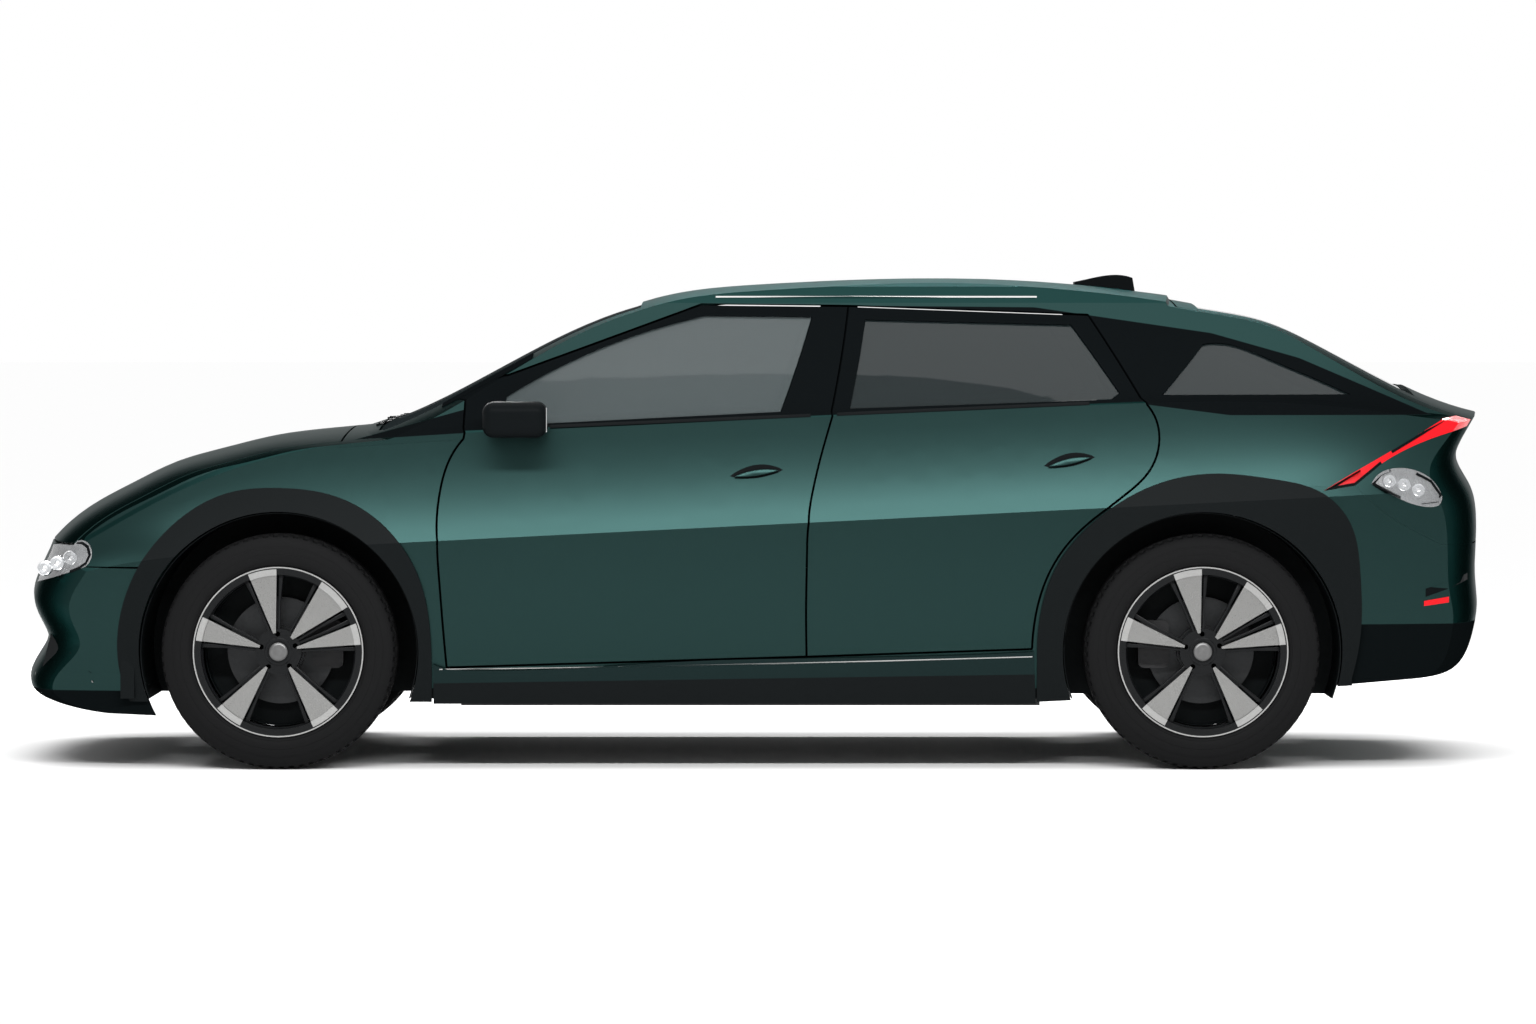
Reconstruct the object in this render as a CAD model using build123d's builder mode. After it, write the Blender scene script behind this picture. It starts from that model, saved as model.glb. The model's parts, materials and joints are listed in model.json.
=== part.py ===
import os

from build123d import *

# Electric crossover, front towards -X, left side towards -Y, standing on Z = 0.
# Millimetres. The origin is on the ground, under the middle of the car.

# Driving dimensions
wheelbase = 2900
front_overhang = 860
rear_overhang = 940
roof_height = 1545
body_half_width = 926
roof_half_width = 645
track = 1600
ground_clearance = 186
arch_radius = 440
tyre_radius = 370
tyre_width = 235
rim_radius = 268

# Walls, gaps and clearances
door_wall = 85
frame_wall = 58
roof_wall = 36
end_wall = 80
skin = 22
floor_wall = 30
floor_height = 255
shut_gap = 7
seat_gap = 0.3
glass_thickness = 5
glass_inset = 8
shut_slant = 0.35
margin_thickness = 25

# Places along the car
half_length = (front_overhang + wheelbase + rear_overhang) / 2
nose_x = -half_length
tail_x = half_length
front_axle_x = nose_x + front_overhang
rear_axle_x = front_axle_x + wheelbase
side_plane_y = -(body_half_width + 20)

# Hinges and edges of the opening panels
door_hinge_back = 60
door_hinge_depth = 25
bonnet_rear_x = front_axle_x + 190
tailgate_front_x = rear_axle_x - 62
tailgate_bottom_z = 706

# Cross sections: place, half width and height of the side crease, height of the
# belt, depth of the ledge under the windows, half width at the roof rail.
rail_height = 1465
sections = [
    (nose_x - 30, body_half_width - 126, 500, 610, 15, roof_half_width - 85),
    (front_axle_x - 520, body_half_width - 34, 640, 765, 18, roof_half_width - 65),
    (front_axle_x, body_half_width, 694, 985, 20, roof_half_width - 45),
    (front_axle_x + 700, body_half_width, 729, 1062, 22, roof_half_width - 23),
    (0, body_half_width, 768, 1098, 22, roof_half_width),
    (rear_axle_x - 500, body_half_width + 2, 813, 1137, 24, roof_half_width - 5),
    (rear_axle_x, body_half_width + 4, 838, 1155, 40, roof_half_width - 45),
    (rear_axle_x + 500, body_half_width - 33, 862, 1130, 70, roof_half_width - 125),
    (tail_x + 30, body_half_width - 136, 885, 1095, 80, roof_half_width - 195),
]

# Centre line, as seen from the side, each run with its own points
nose_run = [(nose_x + x, z) for x, z in [
    (173, 178), (71, 203), (3, 253), (22, 321), (60, 400), (36, 460), (13, 535),
    (26, 590), (77, 705)]]
bonnet_run = [(nose_x + x, z) for x, z in [
    (77, 705), (215, 821), (336, 886), (474, 952), (625, 996), (782, 1034),
    (940, 1055), (1097, 1070)]]
screen_run = [(front_axle_x + x, z) for x, z in [
    (237, 1070), (473, 1165), (788, 1332), (1103, 1463)]]
roof_run = [(front_axle_x + 1103, 1463), (front_axle_x + 1260, 1503),
            (front_axle_x + 1497, 1527), (front_axle_x + 1890, roof_height),
            (rear_axle_x - 537, roof_height - 5), (rear_axle_x - 144, 1503),
            (rear_axle_x - 70, 1493)]
step_run = [(rear_axle_x - 70, 1493), (rear_axle_x - 62, 1480)]
slope_run = [(rear_axle_x + x, z) for x, z in [
    (-62, 1480), (92, 1454), (250, 1421), (407, 1352), (643, 1228), (801, 1156),
    (930, 1116)]]
tail_run = [(tail_x - x, z) for x, z in [
    (10, 1116), (45, 1055), (72, 978), (26, 879), (6, 786), (6, 705), (8, 577),
    (2, 494), (12, 425), (64, 314), (122, 290)]]
under_run = [(tail_x - 122, 290), (rear_axle_x + 470, 262),
             (front_axle_x - 435, 168), (nose_x + 173, 178)]


def plan_shift(y):
    """How far the nose and the tail fall back at this distance from the centre."""
    share = abs(y) / (body_half_width + 4)
    return 110 * share**2 + 180 * share**8


def crown(y):
    """Share by which the top falls towards the sides."""
    return 0.035 * (y / 900) ** 2


def side_form(lower_inset, upper_inset):
    """The body's sides, lofted along the car, as a solid that is open to the top."""
    with BuildPart() as form:
        for x, crease_y, crease_z, belt_z, ledge, rail_y in sections:
            sill_y = crease_y - 42
            belt_y = crease_y - 60
            low, high = lower_inset, upper_inset
            points = [
                (0, 100),
                (sill_y - 25 - low, 100),
                (sill_y - low, 300),
                (crease_y - low, crease_z),
                (belt_y - low, belt_z),
                (belt_y - ledge - (low + high) / 2, belt_z + 16),
                (rail_y - high, rail_height),
                (rail_y - high - 66, rail_height + 52),
                (0, roof_height + 90),
            ]
            with BuildSketch(Plane.YZ.offset(x)):
                with BuildLine():
                    Line(points[0], points[1])
                    Line(points[1], points[2])
                    bulge(points[2], points[3], 5)
                    bulge(points[3], points[4], -11)
                    Line(points[4], points[5])
                    bulge(points[5], points[6], 12)
                    Line(points[6], points[7])
                    Line(points[7], points[8])
                    mirror(about=Plane.YZ)
                make_face()
        loft()
    return form.part


def bulge(start, end, height):
    """An arc between two points, its middle moved out or in by a height."""
    middle = ((start[0] + end[0]) / 2 + height, (start[1] + end[1]) / 2)
    return ThreePointArc(start, middle, end)


def top_form(end_inset, top_inset, stations=(0, 350, 600, 750, 850, 930, 990)):
    """The car's outline from the side, lofted across it."""
    across = [-y for y in reversed(stations[1:])] + list(stations)
    with BuildPart() as form:
        for y in across:
            x_share = (1 - end_inset / half_length) * (1 - plan_shift(y) / half_length)
            z_share = (1 - top_inset / roof_height) * (1 - crown(y))
            with BuildSketch(Plane.XZ.offset(-y)):
                with BuildLine():
                    for run in (nose_run, bonnet_run, screen_run, roof_run, slope_run,
                                tail_run):
                        Spline([(x * x_share, z * z_share) for x, z in run])
                    for run in (step_run, under_run):
                        Polyline([(x * x_share, z * z_share) for x, z in run])
                make_face()
        loft()
    return form.part


def outline(*runs):
    """A closed outline: two points make a straight run, more make a smooth one."""
    for run in runs:
        if len(run) > 2:
            Spline(run)
        else:
            Line(*run)


def skin_depth(z):
    """How far the left side's skin lies behind the side plane at a height."""
    lower = min(max((z - 750) / 350, 0), 1)
    upper = min(max((z - 1100) / (rail_height - 1100), 0), 1)
    return 25 + 60 * lower + (body_half_width - 85 - roof_half_width) * upper


def grown(face, amount):
    """A flat face with its edge moved out, each curved run drawn again as a spline."""
    moved = offset(face, amount=amount, kind=Kind.ARC).face()
    edges = []
    for edge in moved.outer_wire().order_edges():
        if edge.geom_type == GeomType.OFFSET:
            edge = Edge.make_spline([edge @ (step / 16) for step in range(17)])
        edges.append(edge)
    return Face(Wire(edges))


def side_prism(runs, grow=0, slant=shut_slant, inner_y=-350):
    """A prism through the left side, its outline given on the skin."""
    length = inner_y - side_plane_y
    moved = [[(x + slant * skin_depth(z), z) for x, z in run] for run in runs]
    direction = Vector(-slant, 1, 0)
    with BuildPart() as prism:
        with BuildSketch(Plane.XZ.offset(-side_plane_y)):
            with BuildLine():
                outline(*moved)
            make_face()
            if grow:
                add(grown(face(), grow), mode=Mode.REPLACE)
        extrude(amount=length * direction.length, dir=direction.normalized())
    return prism.part


def block(low, high):
    """A plain block between two corners."""
    with BuildPart() as part:
        size = [b - a for a, b in zip(low, high)]
        with Locations(tuple((a + b) / 2 for a, b in zip(low, high))):
            Box(*size)
    return part.part


def both_sides(left):
    """The left piece and its mirror image on the right."""
    return Compound(children=[left, mirror(left, about=Plane.XZ)])


def keep(piece, name):
    """Write one finished piece under its node's name."""
    piece.label = name
    export_step(piece, f"parts/{name}.step")


# Shut lines on the left side, from the front to the back
front_edge = [(front_axle_x + x, z) for x, z in [
    (542, 324), (527, 441), (510, 600), (502, 729), (513, 860), (541, 966),
    (585, 1036)]]
split_line = [(174, 358), (167, 500), (165, 663), (168, 791), (182, 869), (212, 992),
              (242, 1113)]
split_top = [(242, 1113), (302, 1452)]
screen_corner = (front_axle_x + 597, 1186)
front_top_corner = (front_axle_x + 1335, 1457)
rear_top_corner = (rear_axle_x - 344, 1424)
rear_door_upper = [(rear_axle_x - 344, 1424), (rear_axle_x - 188, 1142)]
rear_door_lower = [(rear_axle_x + x, z) for x, z in [
    (-188, 1142), (-144, 1045), (-168, 952), (-248, 871), (-363, 781), (-457, 672),
    (-505, 566), (-524, 478), (-530, 382)]]

front_door_runs = [
    front_edge,
    [front_edge[-1], screen_corner],
    [screen_corner, front_top_corner],
    [front_top_corner, split_top[1]],
    split_top,
    split_line,
    [split_line[0], front_edge[0]],
]
rear_split_line = [(x + shut_gap, z) for x, z in split_line]
rear_split_top = [(x + shut_gap, z) for x, z in split_top]
rear_door_runs = [
    rear_split_line,
    rear_split_top,
    [rear_split_top[1], rear_top_corner],
    rear_door_upper,
    rear_door_lower,
    [rear_door_lower[-1], rear_split_line[0]],
]

# Windows, on the skin
front_window_runs = [
    [(front_axle_x + 700, 1078), (front_axle_x + 722, 1170)],
    [(front_axle_x + 722, 1170), (front_axle_x + 1006, 1318),
     (front_axle_x + 1343, 1424)],
    [(front_axle_x + 1343, 1424), (190, 1420)],
    [(190, 1420), (90, 1122)],
    [(90, 1122), (front_axle_x + 700, 1078)],
]
rear_window_runs = [
    [(303, 1132), (356, 1412)],
    [(356, 1412), (rear_axle_x - 400, 1396)],
    [(rear_axle_x - 400, 1396), (rear_axle_x - 262, 1180)],
    [(rear_axle_x - 262, 1180), (rear_axle_x - 290, 1160)],
    [(rear_axle_x - 290, 1160), (303, 1132)],
]
quarter_window_runs = [
    [(rear_axle_x - 130, 1175), (rear_axle_x + 18, 1334)],
    [(rear_axle_x + 18, 1334), (rear_axle_x + 136, 1326), (rear_axle_x + 241, 1284),
     (rear_axle_x + 365, 1233), (rear_axle_x + 500, 1176)],
    [(rear_axle_x + 500, 1176), (rear_axle_x - 130, 1175)],
]


def forms():
    """The outer form, the spaces inside, and the forms just under a thin skin."""
    outer = side_form(0, 0) & top_form(0, 0)
    inside = side_form(door_wall, frame_wall)
    above_floor = block((nose_x, -1000, floor_height + floor_wall), (tail_x, 1000, 1700))
    cavity = inside & top_form(end_wall, roof_wall) & above_floor
    thin = side_form(skin, skin) & top_form(skin, skin)
    behind = skin + seat_gap
    core = side_form(behind, behind) & top_form(behind, behind)
    return outer, inside, cavity, thin, core


outer, inside, cavity, thin, core = forms()


def panel_prism(runs, grow=0):
    """A prism through both sides, cut straight across the car."""
    return side_prism(runs, grow, slant=0, inner_y=-side_plane_y)


# Doors
front_hinge_x = front_edge[3][0] + door_hinge_back
rear_hinge_x = split_line[2][0] + shut_gap + door_hinge_back
door_hinge_y = -(body_half_width - door_hinge_depth)
hinge_inner_y = -(body_half_width - door_wall - 6)
hinge_z = 670
hinge_height = 60
pin_radius = 5
pin_length = 100
running_gap = 0.05
arm_front = 6
arm_back = 10
arm_gap = 6
arm_swing = 80
knuckle_radius = 7
margin_form = side_form(margin_thickness, margin_thickness)


def slice_of(front, back, prism):
    """What lies inside a prism between two forms."""
    return (front & prism) - back


def pin_at(hinge_x, radius, length):
    """An upright round bar on a door's hinge axis."""
    with BuildPart() as pin:
        with Locations((hinge_x, door_hinge_y, hinge_z)):
            Cylinder(radius, length)
    return pin.part


def arm_room(hinge_x):
    """The room in a door that its hinge arm needs while the door swings."""
    half = hinge_height / 2 + arm_gap
    inner_y = hinge_inner_y + 2 * arm_gap
    with BuildPart() as room:
        add(block((hinge_x - arm_front - arm_gap, door_hinge_y - arm_front - arm_gap,
                   hinge_z - half), (hinge_x + arm_back + arm_gap, inner_y, hinge_z + half)))
        add(block((hinge_x - arm_swing, door_hinge_y - arm_gap - 3, hinge_z - half),
                  (hinge_x, inner_y, hinge_z + half)))
    return room.part


def make_door(runs, window_runs, hinge_x, belt_z):
    """A door as thick as the wall, thin in front of its hinge, with its window cut."""
    relief = margin_form & block((hinge_x - 300, -1000, 200), (hinge_x - 8, 0, belt_z))
    with BuildPart() as door:
        add(slice_of(outer, inside, side_prism(runs)))
        add(relief, mode=Mode.SUBTRACT)
        add(side_prism(window_runs), mode=Mode.SUBTRACT)
        add(arm_room(hinge_x), mode=Mode.SUBTRACT)
        add(pin_at(hinge_x, pin_radius + running_gap, pin_length + 4), mode=Mode.SUBTRACT)
    return door.part


def make_hinge(hinge_x, root_x, root_depth):
    """A door hinge: pin, knuckle, arm, and the root that it is carried by."""
    half = hinge_height / 2
    with BuildPart() as hinge:
        add(pin_at(hinge_x, knuckle_radius, hinge_height))
        add(block((hinge_x - arm_front, door_hinge_y, hinge_z - half),
                  (hinge_x + arm_back, hinge_inner_y, hinge_z + half)))
        add(pin_at(hinge_x, pin_radius, pin_length))
        add(block((root_x, hinge_inner_y, hinge_z - half),
                  (hinge_x + arm_back, hinge_inner_y + root_depth, hinge_z + half)))
    return hinge.part


front_door = make_door(front_door_runs, front_window_runs, front_hinge_x, 1050)
rear_door = make_door(rear_door_runs, rear_window_runs, rear_hinge_x, 1110)

# Window glass, a thin slice of the side behind the skin
pane_form = side_form(glass_inset, glass_inset)
pane_back = side_form(glass_inset + glass_thickness, glass_inset + glass_thickness)


def make_glass(window_runs):
    """The pane that fills a window, seated in its frame."""
    return slice_of(pane_form, pane_back, side_prism(window_runs, grow=-seat_gap))


front_glass = make_glass(front_window_runs)
rear_door_glass = make_glass(rear_window_runs)
quarter_glass = make_glass(quarter_window_runs)


def plan_prism(points, low_z, high_z=1700, grow=0):
    """A prism through the top, its outline given for the left half in plan."""
    with BuildPart() as prism:
        with BuildSketch(Plane.XY.offset(low_z)):
            with BuildLine():
                Polyline(points + [(x, -y) for x, y in reversed(points)], close=True)
            make_face()
            if grow:
                offset(amount=grow, kind=Kind.ARC)
        extrude(amount=high_z - low_z)
    return prism.part


# Bonnet, tailgate and the big panes
bonnet_bottom_z = 707
bonnet_rear_half = 800
bonnet_front_half = 760
bonnet_plan = [(nose_x - 60, -bonnet_front_half), (bonnet_rear_x, -bonnet_rear_half)]
bonnet = slice_of(outer, thin, plan_prism(bonnet_plan, bonnet_bottom_z))
bonnet_opening = plan_prism(bonnet_plan, bonnet_bottom_z - shut_gap, grow=shut_gap)

tailgate_front_half = 590
tailgate_rear_half = 640
tailgate_plan = [(tailgate_front_x, -tailgate_front_half),
                 (tail_x + 60, -tailgate_rear_half)]
rear_glass_plan = [(rear_axle_x + 10, -500), (rear_axle_x + 700, -540)]
screen_plan = [(front_axle_x + 300, -690), (front_axle_x + 1130, -545)]
plate_screw_y = 140
plate_screw_z = 800
plate_screw_radius = 3
top_pane_form = top_form(14, 9)
top_pane_back = top_form(22, 15)


def make_tailgate():
    """The tailgate with its window opening, as thick as the wall."""
    with BuildPart() as gate:
        add(slice_of(outer, cavity, plan_prism(tailgate_plan, tailgate_bottom_z)))
        add(plan_prism(rear_glass_plan, 1150), mode=Mode.SUBTRACT)
        add(block((rear_axle_x + 200, -700, 0), (tail_x - 140, 700, 1050)),
            mode=Mode.SUBTRACT)
        with Locations((tail_x, -plate_screw_y, plate_screw_z),
                       (tail_x, plate_screw_y, plate_screw_z)):
            Cylinder(plate_screw_radius, 80, rotation=(0, 90, 0), mode=Mode.SUBTRACT)
    return gate.part


tailgate = make_tailgate()
tailgate_opening = plan_prism(
    tailgate_plan, tailgate_bottom_z - shut_gap, grow=shut_gap)
rear_glass = slice_of(top_pane_form, top_pane_back,
                      plan_prism(rear_glass_plan, 1150, grow=-seat_gap))
windscreen = slice_of(top_pane_form, top_pane_back,
                      plan_prism(screen_plan, 1060, grow=-seat_gap))

# Bumpers, wings and lamps, cut from the thin skin along their real seams
panel_seam = 3
wing_overlap = 20
front_bumper_runs = [
    [(nose_x - 60, 120), (front_axle_x - 300, 120)],
    [(front_axle_x - 300, 120), (front_axle_x - 300, 628)],
    [(front_axle_x - 300, 628), (front_axle_x - 620, 634)],
    [(front_axle_x - 620, 634), (front_axle_x - 640, 700)],
    [(front_axle_x - 640, 700), (nose_x - 60, 700)],
    [(nose_x - 60, 700), (nose_x - 60, 120)],
]
rear_bumper_runs = [
    [(rear_axle_x + 300, 120), (tail_x + 60, 120)],
    [(tail_x + 60, 120), (tail_x + 60, 699)],
    [(tail_x + 60, 699), (rear_axle_x + 756, 704)],
    [(rear_axle_x + 756, 704), (rear_axle_x + 665, 748), (rear_axle_x + 577, 802),
     (rear_axle_x + 480, 890)],
    [(rear_axle_x + 480, 890), (rear_axle_x + 300, 890)],
    [(rear_axle_x + 300, 890), (rear_axle_x + 300, 120)],
]
wing_runs = [
    [(front_axle_x - 620 - panel_seam, 634 + panel_seam),
     (front_axle_x - 640 - panel_seam, 700 + panel_seam)],
    [(front_axle_x - 640 - panel_seam, 700 + panel_seam), (nose_x - 60, 703)],
    [(nose_x - 60, 703), (nose_x - 60, 1300)],
    [(nose_x - 60, 1300), (bonnet_rear_x, 1300)],
    [(bonnet_rear_x, 1300), (bonnet_rear_x, 1010)],
    [(bonnet_rear_x, 1010), (front_edge[-1][0] + wing_overlap, 1036)],
    [(x + wing_overlap, z) for x, z in reversed(front_edge)],
    [(front_edge[0][0] + wing_overlap, 324), (front_axle_x + 300, 324)],
    [(front_axle_x + 300, 324), (front_axle_x + 300, 634 + panel_seam)],
    [(front_axle_x + 300, 634 + panel_seam), (front_axle_x - 620 - panel_seam, 637)],
]
headlamp_runs = [
    [(nose_x - 60, 545), (front_axle_x - 757, 588), (front_axle_x - 625, 630)],
    [(front_axle_x - 625, 630), (front_axle_x - 597, 650), (front_axle_x - 591, 682),
     (front_axle_x - 606, 710), (front_axle_x - 634, 716)],
    [(front_axle_x - 634, 716), (front_axle_x - 750, 694), (nose_x - 60, 672)],
    [(nose_x - 60, 672), (nose_x - 60, 545)],
]
tail_lamp_runs = [
    [(rear_axle_x + 379, 876), (rear_axle_x + 492, 942), (rear_axle_x + 595, 999),
     (rear_axle_x + 690, 1054), (rear_axle_x + 765, 1100)],
    [(rear_axle_x + 765, 1100), (rear_axle_x + 900, 1120)],
    [(rear_axle_x + 900, 1120), (rear_axle_x + 900, 1085)],
    [(rear_axle_x + 900, 1085), (rear_axle_x + 727, 1038), (rear_axle_x + 564, 960),
     (rear_axle_x + 479, 893)],
    [(rear_axle_x + 479, 893), (rear_axle_x + 379, 876)],
]
reversing_lamp_runs = [
    [(rear_axle_x + 530, 896), (rear_axle_x + 558, 930), (rear_axle_x + 620, 946),
     (rear_axle_x + 720, 912), (rear_axle_x + 757, 856)],
    [(rear_axle_x + 757, 856), (rear_axle_x + 748, 832), (rear_axle_x + 688, 826),
     (rear_axle_x + 618, 850), (rear_axle_x + 530, 896)],
]
lamp_depth = 60
lamp_back = side_form(lamp_depth, lamp_depth) & top_form(lamp_depth, lamp_depth)
headlamp_inner_y = -520
tail_lamp_inner_y = -(tailgate_rear_half + 2 * shut_gap)


def side_lamp(runs, inner_y):
    """The left lamp of a pair, cut from the corner of the body."""
    return slice_of(outer, lamp_back, side_prism(runs, slant=0, inner_y=inner_y))


headlamp = side_lamp(headlamp_runs, headlamp_inner_y) - bonnet_opening
tail_lamp = side_lamp(tail_lamp_runs, tail_lamp_inner_y)
reversing_lamp = side_lamp(reversing_lamp_runs, tail_lamp_inner_y)


def lamp_pocket(runs, inner_y):
    """The room for a lamp and its seam, on both sides."""
    pocket = side_prism(runs, grow=seat_gap, slant=0, inner_y=inner_y + seat_gap)
    return [pocket, mirror(pocket, about=Plane.XZ)]


headlamp_pockets = lamp_pocket(headlamp_runs, headlamp_inner_y)
tail_pockets = lamp_pocket(tail_lamp_runs, tail_lamp_inner_y)
reversing_pockets = lamp_pocket(reversing_lamp_runs, tail_lamp_inner_y)


def arch_cut(axle_x, radius=arch_radius, inner_y=-470):
    """The space for a wheel, through the left side."""
    with BuildPart() as cut:
        with BuildSketch(Plane.XZ.offset(1000)):
            with Locations((axle_x, tyre_radius)):
                Circle(radius)
        extrude(amount=inner_y + 1000, dir=(0, 1, 0))
    return cut.part


liner = 12
front_liner_y = -470
rear_liner_y = -600
wheel_cuts = [arch_cut(front_axle_x, inner_y=front_liner_y),
              arch_cut(rear_axle_x, inner_y=rear_liner_y)]
wheel_cuts += [mirror(cut, about=Plane.XZ) for cut in wheel_cuts]
wheel_houses = [
    arch_cut(front_axle_x, arch_radius + liner, front_liner_y + liner),
    arch_cut(rear_axle_x, arch_radius + liner, rear_liner_y + liner)]
wheel_houses += [mirror(house, about=Plane.XZ) for house in wheel_houses]


def door_opening(runs):
    """The room for a door and the gap round it, on both sides."""
    opening = side_prism(runs, grow=shut_gap, inner_y=-(roof_half_width - 75))
    return [opening, mirror(opening, about=Plane.XZ)]


front_door_openings = door_opening(front_door_runs)


def thin_panel(prism, cuts):
    """A panel of the thin skin inside a prism, without the given spaces."""
    with BuildPart() as panel:
        add(slice_of(outer, thin, prism))
        add(cuts, mode=Mode.SUBTRACT)
    return panel.part


front_bumper = thin_panel(panel_prism(front_bumper_runs),
                          wheel_cuts[0::2] + headlamp_pockets)
rear_bumper = thin_panel(panel_prism(rear_bumper_runs),
                         wheel_cuts[1::2] + tail_pockets + reversing_pockets)
wings = thin_panel(panel_prism(wing_runs), wheel_cuts[0::2] + headlamp_pockets
                   + front_door_openings + [bonnet_opening])


# Inner structure
firewall_x = front_axle_x + 430
floor_top = floor_height + floor_wall
boot_floor_z = 600
plates = [
    ((firewall_x, -1000, 200), (firewall_x + 22, 1000, 1040)),
    ((rear_axle_x - 200, -1000, boot_floor_z), (tail_x, 1000, boot_floor_z + 18)),
]
jack_pad_length = 80
jack_pad_width = 50
jack_pad_height = 24
jack_pads = [(x, y, floor_height) for x in (front_axle_x + 640, rear_axle_x - 580)
             for y in (-710, 710)]
radiator_panel_x = nose_x + 300
radiator_panel_top = 640
cowl_bottom_z = 950


def make_front_structure():
    """The floor, wheel houses and radiator panel ahead of the firewall."""
    with BuildPart() as structure:
        add(block((nose_x, -1000, floor_height), (firewall_x, 1000, floor_top)))
        add(block((radiator_panel_x, -1000, floor_height),
                  (radiator_panel_x + 22, 1000, radiator_panel_top)))
        add(wheel_houses[0::2])
        add(wheel_cuts[0::2], mode=Mode.SUBTRACT)
        add(block((nose_x, -1200, floor_height), (firewall_x - seat_gap, 1200, 1200)),
            mode=Mode.INTERSECT)
        add(core, mode=Mode.INTERSECT)
    return structure.part.solids().sort_by(SortBy.VOLUME)[-1]


def make_body_shell():
    """The hollow body from the firewall back: floor, pillars, roof and rear sides."""
    solid_plates = [block(low, high) for low, high in plates]
    room = cavity.cut(*solid_plates, *wheel_houses[1::2])
    quarter = side_prism(quarter_window_runs)
    under = block((nose_x - 60, -1200, 0), (tail_x + 60, 1200, floor_height))
    wing_space = side_prism(wing_runs, grow=seat_gap, slant=0, inner_y=-700)
    wing_space &= block((bonnet_rear_x, -1200, 200), (0, 0, 1200))
    wing_space -= core
    front = [block((nose_x - 60, -1200, 0), (bonnet_rear_x, 1200, 1200)),
             block((bonnet_rear_x, -1200, 0), (firewall_x, 1200, cowl_bottom_z))]
    rear_bumper_space = panel_prism(rear_bumper_runs, grow=seat_gap) - core
    cuts = [under, *front, bonnet_opening, tailgate_opening, rear_bumper_space,
            plan_prism(screen_plan, 1060), quarter, mirror(quarter, about=Plane.XZ),
            wing_space, mirror(wing_space, about=Plane.XZ)]
    cuts += front_door_openings + door_opening(rear_door_runs)
    cuts += wheel_cuts + tail_pockets + reversing_pockets
    with BuildPart() as shell:
        add(outer)
        add(room, mode=Mode.SUBTRACT)
        for cut in cuts:
            add(cut, mode=Mode.SUBTRACT, clean=False)
        with Locations(*jack_pads):
            Box(jack_pad_length, jack_pad_width, jack_pad_height)
    return shell.part.solids().sort_by(SortBy.VOLUME)[-1]


body_shell = make_body_shell()


post_clearance = 8


def centre_post():
    """The left post behind the split between the doors, inside them."""
    near = side_form(door_wall + post_clearance, frame_wall + post_clearance)
    far = side_form(door_wall + 50, frame_wall + 40)
    low_x = min(x for x, z in split_line) + 10
    runs = [
        [(low_x, floor_top + seat_gap), (low_x + 110, floor_top + seat_gap)],
        [(low_x + 110, floor_top + seat_gap), (low_x + 110, 1000),
         (split_top[1][0] + 40, 1520)],
        [(split_top[1][0] + 40, 1520), (split_top[1][0] - 70, 1520)],
        [(split_top[1][0] - 70, 1520), (low_x, 1000), (low_x, floor_top + seat_gap)],
    ]
    post = slice_of(near, far, side_prism(runs, slant=0, inner_y=-500))
    post &= top_form(end_wall, roof_wall + seat_gap)
    return post + make_hinge(rear_hinge_x, rear_hinge_x - arm_front, 30)


# Dark trim that stands proud of the skin
trim_out = 14
trim_front = side_form(-trim_out, -trim_out)
trim_back = side_form(-seat_gap, -seat_gap)
sill_bottom_z = 206
sill_runs = [
    [(front_axle_x + 486, sill_bottom_z), (rear_axle_x - 524, sill_bottom_z)],
    [(rear_axle_x - 524, sill_bottom_z), (rear_axle_x - 530, 370)],
    [(rear_axle_x - 530, 370), (343, 352), (-250, 338), (-560, 318),
     (front_axle_x + 530, 314)],
    [(front_axle_x + 530, 314), (front_axle_x + 486, 330)],
    [(front_axle_x + 486, 330), (front_axle_x + 486, sill_bottom_z)],
]
rear_arch_outer = [(rear_axle_x + x, z) for x, z in [
    (-520, 400), (-512, 478), (-493, 562), (-443, 668), (-348, 776), (-225, 862),
    (-90, 914), (40, 930), (216, 913), (369, 871), (458, 780), (495, 607), (500, 469),
    (470, 284)]]


def make_sill_trim():
    """The left sill cover with its flange under the floor's edge."""
    flange = block((front_axle_x + 486, -(body_half_width - 48), sill_bottom_z),
                   (rear_axle_x - 524, -(body_half_width - 150), sill_bottom_z + 12))
    with BuildPart() as trim:
        add(slice_of(trim_front, trim_back, side_prism(sill_runs, slant=0)))
        add(flange)
    return trim.part


def make_arch_trim(axle_x, outer_runs):
    """The left cover round a wheel arch."""
    with BuildPart() as ring:
        with BuildSketch(Plane.XZ.offset(-side_plane_y + trim_out)):
            with BuildLine():
                outline(*outer_runs)
            make_face()
            with Locations((axle_x, tyre_radius)):
                Circle(arch_radius, mode=Mode.SUBTRACT)
        extrude(amount=400, dir=(0, 1, 0))
    return slice_of(trim_front, trim_back, ring.part).solids().sort_by(
        SortBy.VOLUME)[-1]


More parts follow.
